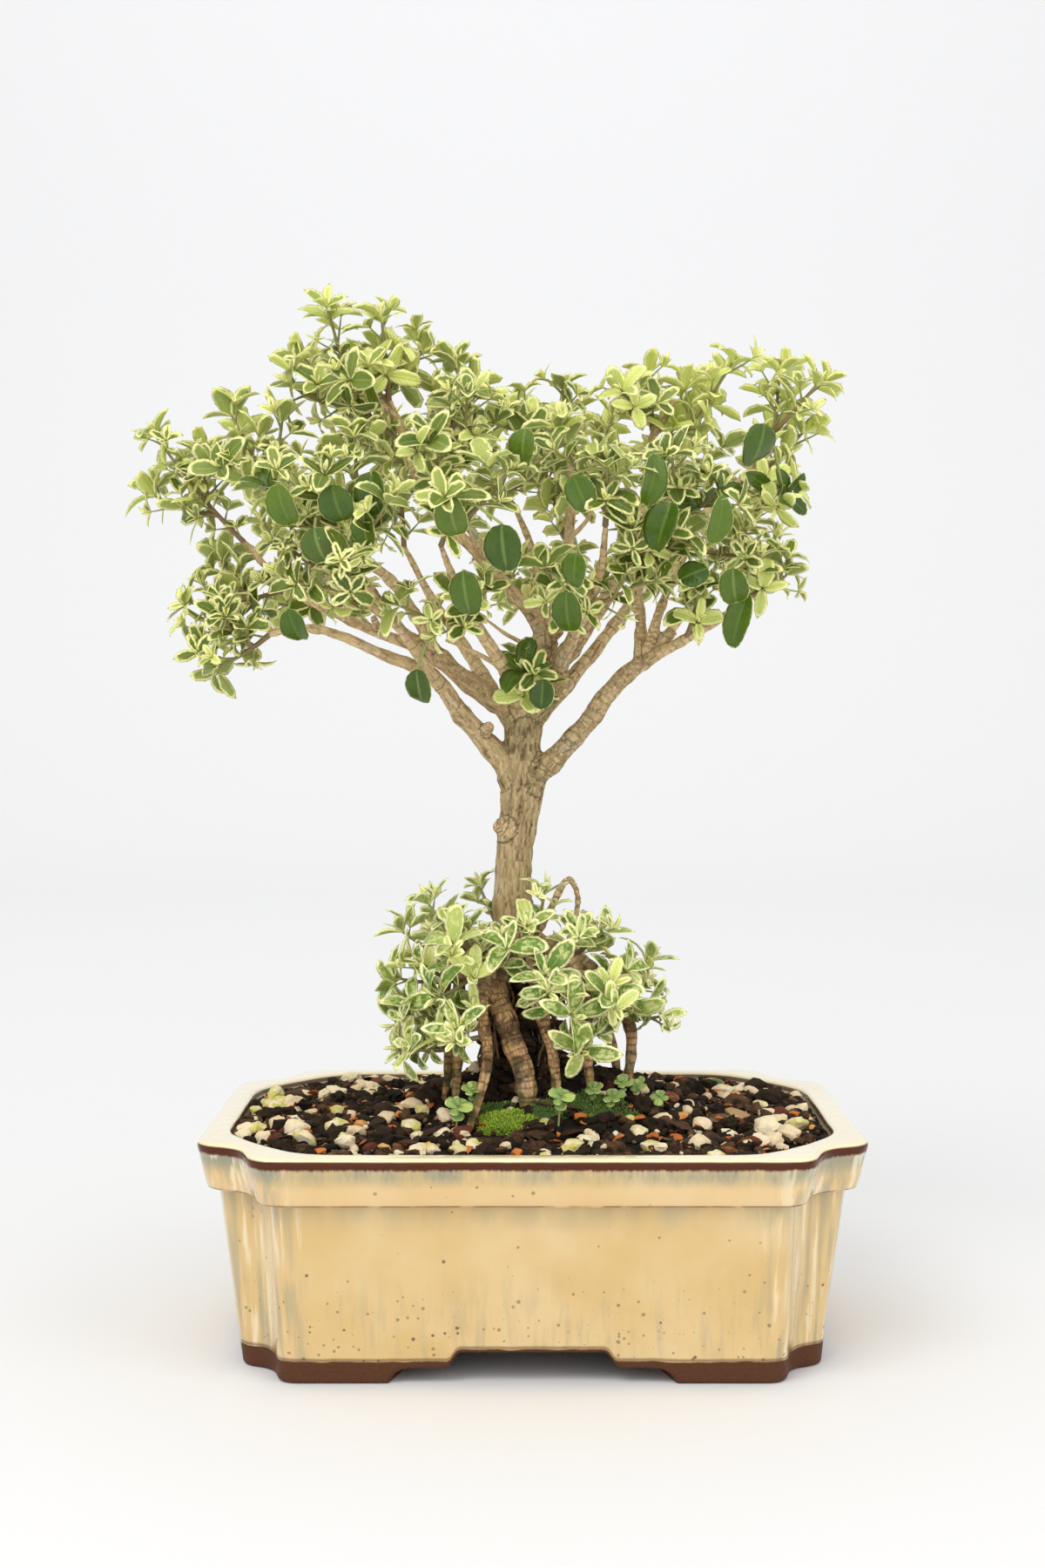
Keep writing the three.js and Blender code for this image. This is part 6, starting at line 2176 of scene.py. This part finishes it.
@dataclass
class MossPad:
    """A cushion of moss: a low dome covered with small pointed tufts."""

    name: str
    middle: Pair
    half: Pair
    rise: float
    tufts: int
    finish: MossFinish
    seed: int
    tuft: Pair = (0.5, 1.5)

    def build(self) -> Object:
        """Models the dome and covers it with tufts.

        Returns:
            The object.
        """
        dome = primitive("ico_sphere", subdivisions=4, radius=1)
        points = points_of(dome)
        lumps = bumps(points, 0.5, 3.0 + self.seed, 2)
        edge = bumps(points * (1, 1, 0), 0.7, 8.0 + self.seed, 1)
        points = points * (1 + 0.28 * edge)[:, None] * (*self.half, self.rise) * (1 + 0.14 * lumps)[:, None]
        set_points(dome, points)
        normals = normals_of(dome)
        upper = np.flatnonzero(points[:, 2] > -0.1 * self.rise)
        points[:, :2] += self.middle
        points[:, 2] += soil_height(points[:, 0], points[:, 1]) - 0.6
        copies, spike, draws = Copies(), self.spike(), Draws(self.seed)
        copies.add(Pattern(dome), placed(points), tip=0.15, tint=0.4)
        for _ in range(self.tufts):
            spot = upper[int(draws(0, len(upper) - 0.01))]
            jitter = np.array([draws(-0.5, 0.5), draws(-0.5, 0.5), 0])
            normal = unit(normals[spot] + np.array([draws(-0.4, 0.4), draws(-0.4, 0.4), 0.6]))
            width, height = draws(0.34, 0.62) * self.tuft[0] / 0.5, draws(*self.tuft)
            side = square_to(normal, draws(0, 6.28))
            blade = (spike.points * (width, width, height)) @ np.array([side, np.cross(normal, side), normal])
            tips = np.clip(spike.points[:, 2], 0, 1)
            at = points[spot] + jitter - normal * 0.15
            copies.add(spike, placed(blade + at), tip=0.25 + 0.75 * tips, tint=draws())
        return copies.joined(self.name)

    @staticmethod
    def spike() -> Pattern:
        """Models a tuft: a small cone that is drawn out to a point.

        Returns:
            The shape.
        """
        cone = primitive("cone", vertices=5, radius1=0.5, radius2=0.28, depth=0.6, location=(0, 0, 0.3))
        bpy.ops.object.transform_apply(location=True, rotation=False, scale=False)
        bpy.ops.object.mode_set(mode="EDIT")
        shape = bmesh.from_edit_mesh(cone.data)
        top = max(v.co.z for v in shape.verts)
        for face in shape.faces:
            face.select_set(all(v.co.z > top - 1e-4 for v in face.verts))
        bmesh.update_edit_mesh(cone.data)
        bpy.ops.mesh.extrude_region_move(TRANSFORM_OT_translate={"value": (0, 0, 0.4)})
        bpy.ops.mesh.merge(type="CENTER")
        bpy.ops.object.mode_set(mode="OBJECT")
        return Pattern(cone)

    def dress(self, replaces: tuple[str, ...] = ()) -> Object:
        """Builds the cushion and gives it its finish."""
        return finish_piece(self.build(), [self.finish.material()], replaces)


@dataclass
class Seedling:
    """A small plant in the soil: a thin stem with a rosette of round leaves that leans to the light."""

    name: str
    foot: Pair
    height: float
    length: float
    replaces: tuple[str, ...] = ()
    turn: float = 0.4
    seed: int = 1
    lean: Pair = (0.1, -0.75)
    stem_radius: float = 0.28

    def rosette(self, top: Array, up: Array, draws: Draws) -> list[Leaf]:
        """Two crossed pairs of open leaves, a smaller pair above them and a lower one beneath.

        Args:
            top: Where the open leaves stand.
            up: The way that the stem runs there.
            draws: The seeded source.

        Returns:
            The leaves.
        """
        leaves = []
        pairs = ((0, 0, 4, 1, 76), (0.8, 0.8, 2, 0.6, 50), (-2.4, 1.2, 2, 0.8, 70))
        for rise, more, count, share, spread in pairs:
            across = square_to(up, self.turn + more)
            leaves += leaves_at(top + up * rise, up, across, count, self.length * share, spread, draws, 0.0)
        return leaves

    def dress(self, mould: BladeMould, stem: Material, leaf_finish: Material) -> Object:
        """Grows the seedling and gives it its finishes.

        Args:
            mould: The blade that its leaves copy.
            stem: The stem's finish.
            leaf_finish: The leaves' finish.

        Returns:
            The piece.
        """
        x, y = self.foot
        level = soil_height(x, y)
        top = np.array([x, y, level + self.height])
        own = Draws(self.seed)
        up = unit(np.array([self.lean[0] + own(-0.3, 0.3), self.lean[1], 1.0]))
        copies = Copies()
        for leaf in self.rosette(top, up, own):
            leaf.width, leaf.curl = leaf.length * own(0.75, 0.95), own(-0.2, 0.5)
            leaf.cup, leaf.youth = own(-0.1, 0.3), own(0.0, 0.6)
            mould.press(copies, leaf, BladeShape.ROUND, 1, own(), 0.1)
        bend = own(-1.2, 1.2)
        r = self.stem_radius
        route = [
            (x - bend, y + 1.5, level - 3, r * 1.3),
            (x - bend * 0.4, y + 1, level + self.height * 0.5, r * 1.1),
            (*top, r),
            (*(top + up * 0.8), 0.5 * r),
        ]
        tube = Pattern(tubes(f"{self.name}_stem", [route], sides_step=2))
        copies.add(tube, tube.points, youth=0.8, tint=0.5)
        return finish_piece(copies.joined(self.name), [stem, leaf_finish], self.replaces)


SEEDLINGS = [
    Seedling("seedling_front_plant", (9, -37), 10.5, 4.3, ("seedling_front",)),
    Seedling("seedling_left_plant", (-23, -36), 8.5, 4.6, ("seedling_left",)),
    Seedling("seedling_right_plant", (26, -24), 4.5, 3.6, turn=1.1, seed=4),
    Seedling("seedling_far_right_plant", (41, -16), 3.5, 3.2, turn=0.2, seed=7),
    Seedling("seedling_moss_plant_0", (20, -21), 5, 3.2, turn=0.9, seed=11),
    Seedling("seedling_moss_plant_1", (29, -17), 6, 3.4, turn=0.1, seed=12),
    Seedling("seedling_moss_plant_2", (34, -13), 5, 3.0, turn=0.6, seed=13),
    Seedling("seedling_root_plant", (-19, -31), 11, 3.6, turn=0.3, seed=14),
    Seedling("seedling_back_plant", (-14, 34), 8, 4.0, turn=0.7, seed=15, lean=(-0.1, 0.6)),
]


# Studio


@dataclass
class Studio:
    """A pale floor that runs up behind, soft lights, and the camera of the photograph."""

    camera_place: Point = (-3.0, -690.0, 203.0)
    camera_drop_degrees: float = 2.24
    lens: float = 48.5
    floor_half: float = 3.0
    backdrop: float = 1.6
    backdrop_bend: float = 0.9
    floor_albedo: Colour = (0.852, 0.860, 0.880)
    world_strength: float = 0.885
    key: float = 10.2
    fill: float = 4.0
    front: float = 3.2
    backdrop_lamp: float = 5.6

    def camera(self) -> None:
        """Sets the camera."""
        data = bpy.data.cameras.new("camera")
        data.lens = self.lens
        data.sensor_width = 36.0
        data.clip_start, data.clip_end = 0.02, 20.0
        camera = linked("camera", data)
        camera.location = placed(self.camera_place)
        camera.rotation_euler = (math.radians(90 - self.camera_drop_degrees), 0, 0)
        bpy.context.scene.camera = camera

    def floor(self) -> None:
        """The floor, one sheet that bends up into a backdrop."""
        sheet = primitive("grid", x_subdivisions=4, y_subdivisions=60, size=2)
        sheet.name = "studio_floor"
        points = points_of(sheet)
        along = (points[:, 1] + 1) / 2
        depth = -self.floor_half + along * (self.floor_half + self.backdrop + 2.5)
        over = np.clip(depth - self.backdrop, 0, None)
        radius = self.backdrop_bend
        angle = np.clip(over / radius, 0, math.pi / 2)
        y = np.minimum(depth, self.backdrop) + radius * np.sin(angle)
        z = radius * (1 - np.cos(angle)) + np.clip(over - radius * math.pi / 2, 0, None)
        set_points(sheet, np.c_[points[:, 0] * self.floor_half * 1.6, y, z])
        make_active(sheet)
        bpy.ops.object.shade_smooth()
        finish = Shader("studio_floor").surface(
            Base_Color=self.floor_albedo, Roughness=0.9, Specular_IOR_Level=0.1,
        )
        sheet.data.materials.append(finish)

    def lamp(self, name: str, place: Point, target: Point, size: float, power: float, colour: Colour) -> None:
        """A square soft light.

        Args:
            name: Its name.
            place: Where it stands, in metres.
            target: What it points at, in metres.
            size: Its width in metres.
            power: Its power in watts.
            colour: Its colour.
        """
        data = bpy.data.lights.new(name, "AREA")
        data.shape = "SQUARE"
        data.size = size
        data.energy = power
        data.color = colour
        lamp = linked(name, data)
        lamp.location = place
        lamp.rotation_euler = (Vector(target) - Vector(place)).to_track_quat("-Z", "Y").to_euler()

    def light(self) -> None:
        """The world and the lamps."""
        world = bpy.data.worlds.new("studio")
        bpy.context.scene.world = world
        world.use_nodes = True
        background = world.node_tree.nodes["Background"]
        background.inputs["Color"].default_value = (1.0, 0.99, 0.97, 1)
        background.inputs["Strength"].default_value = self.world_strength
        middle = (0.0, 0.0, 0.16)
        self.lamp("key", (-0.7, -1.0, 1.5), middle, 0.9, self.key, (1.0, 0.98, 0.94))
        self.lamp("fill", (1.2, -0.9, 0.9), middle, 1.0, self.fill, (1.0, 0.99, 0.97))
        self.lamp("front", (0.0, -1.7, 0.5), middle, 1.2, self.front, (1.0, 0.99, 0.97))
        self.lamp("backdrop", (0.0, 0.9, 1.9), (0.0, 3.2, 1.2), 1.6, self.backdrop_lamp, (1.0, 1.0, 1.0))
        bpy.context.scene.view_settings.view_transform = "Standard"

    def set_up(self) -> None:
        """Camera, floor and lights."""
        self.camera()
        self.floor()
        self.light()


def main() -> None:
    """Builds the whole plant piece by piece."""
    logging.basicConfig(level=logging.INFO, format="%(message)s")
    Studio().set_up()
    pot = Pot()
    pot.dress()
    Soil(pot).dress()
    Wood().dress()
    foliage = Foliage()
    foliage.dress()
    stem = StemFinish("seedling_stem", (0.30, 0.42, 0.14), (0.30, 0.22, 0.11)).material()
    leaf = LeafFinish(LeafTone.SEEDLING).material()
    for seedling in SEEDLINGS:
        seedling.dress(foliage.mould, stem, leaf)
    lime = MossFinish("moss_lime", (0.10, 0.16, 0.01), (0.42, 0.60, 0.04))
    deep = MossFinish("moss_deep", (0.03, 0.06, 0.008), (0.16, 0.30, 0.04))
    MossPad("moss_cushion_tufts", (-8, -33), (10.5, 7.0), 3.4, 1500, lime, 5).dress(("moss_cushion",))
    MossPad("moss_by_roots", (22, -22), (11.0, 6.0), 2.4, 900, deep, 6).dress()
    MossPad("moss_at_main_root", (4, -27), (7.5, 4.0), 2.6, 420, deep, 8).dress()
    MossPad("moss_at_left_roots", (-12, -24), (6.0, 3.5), 2.2, 300, deep, 9).dress()
    screen = matte_plastic()
    for name in ("drain_screen_left", "drain_screen_right"):
        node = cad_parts[name]
        node.data.materials.clear()
        node.data.materials.append(screen)


if __name__ == "__main__":
    main()
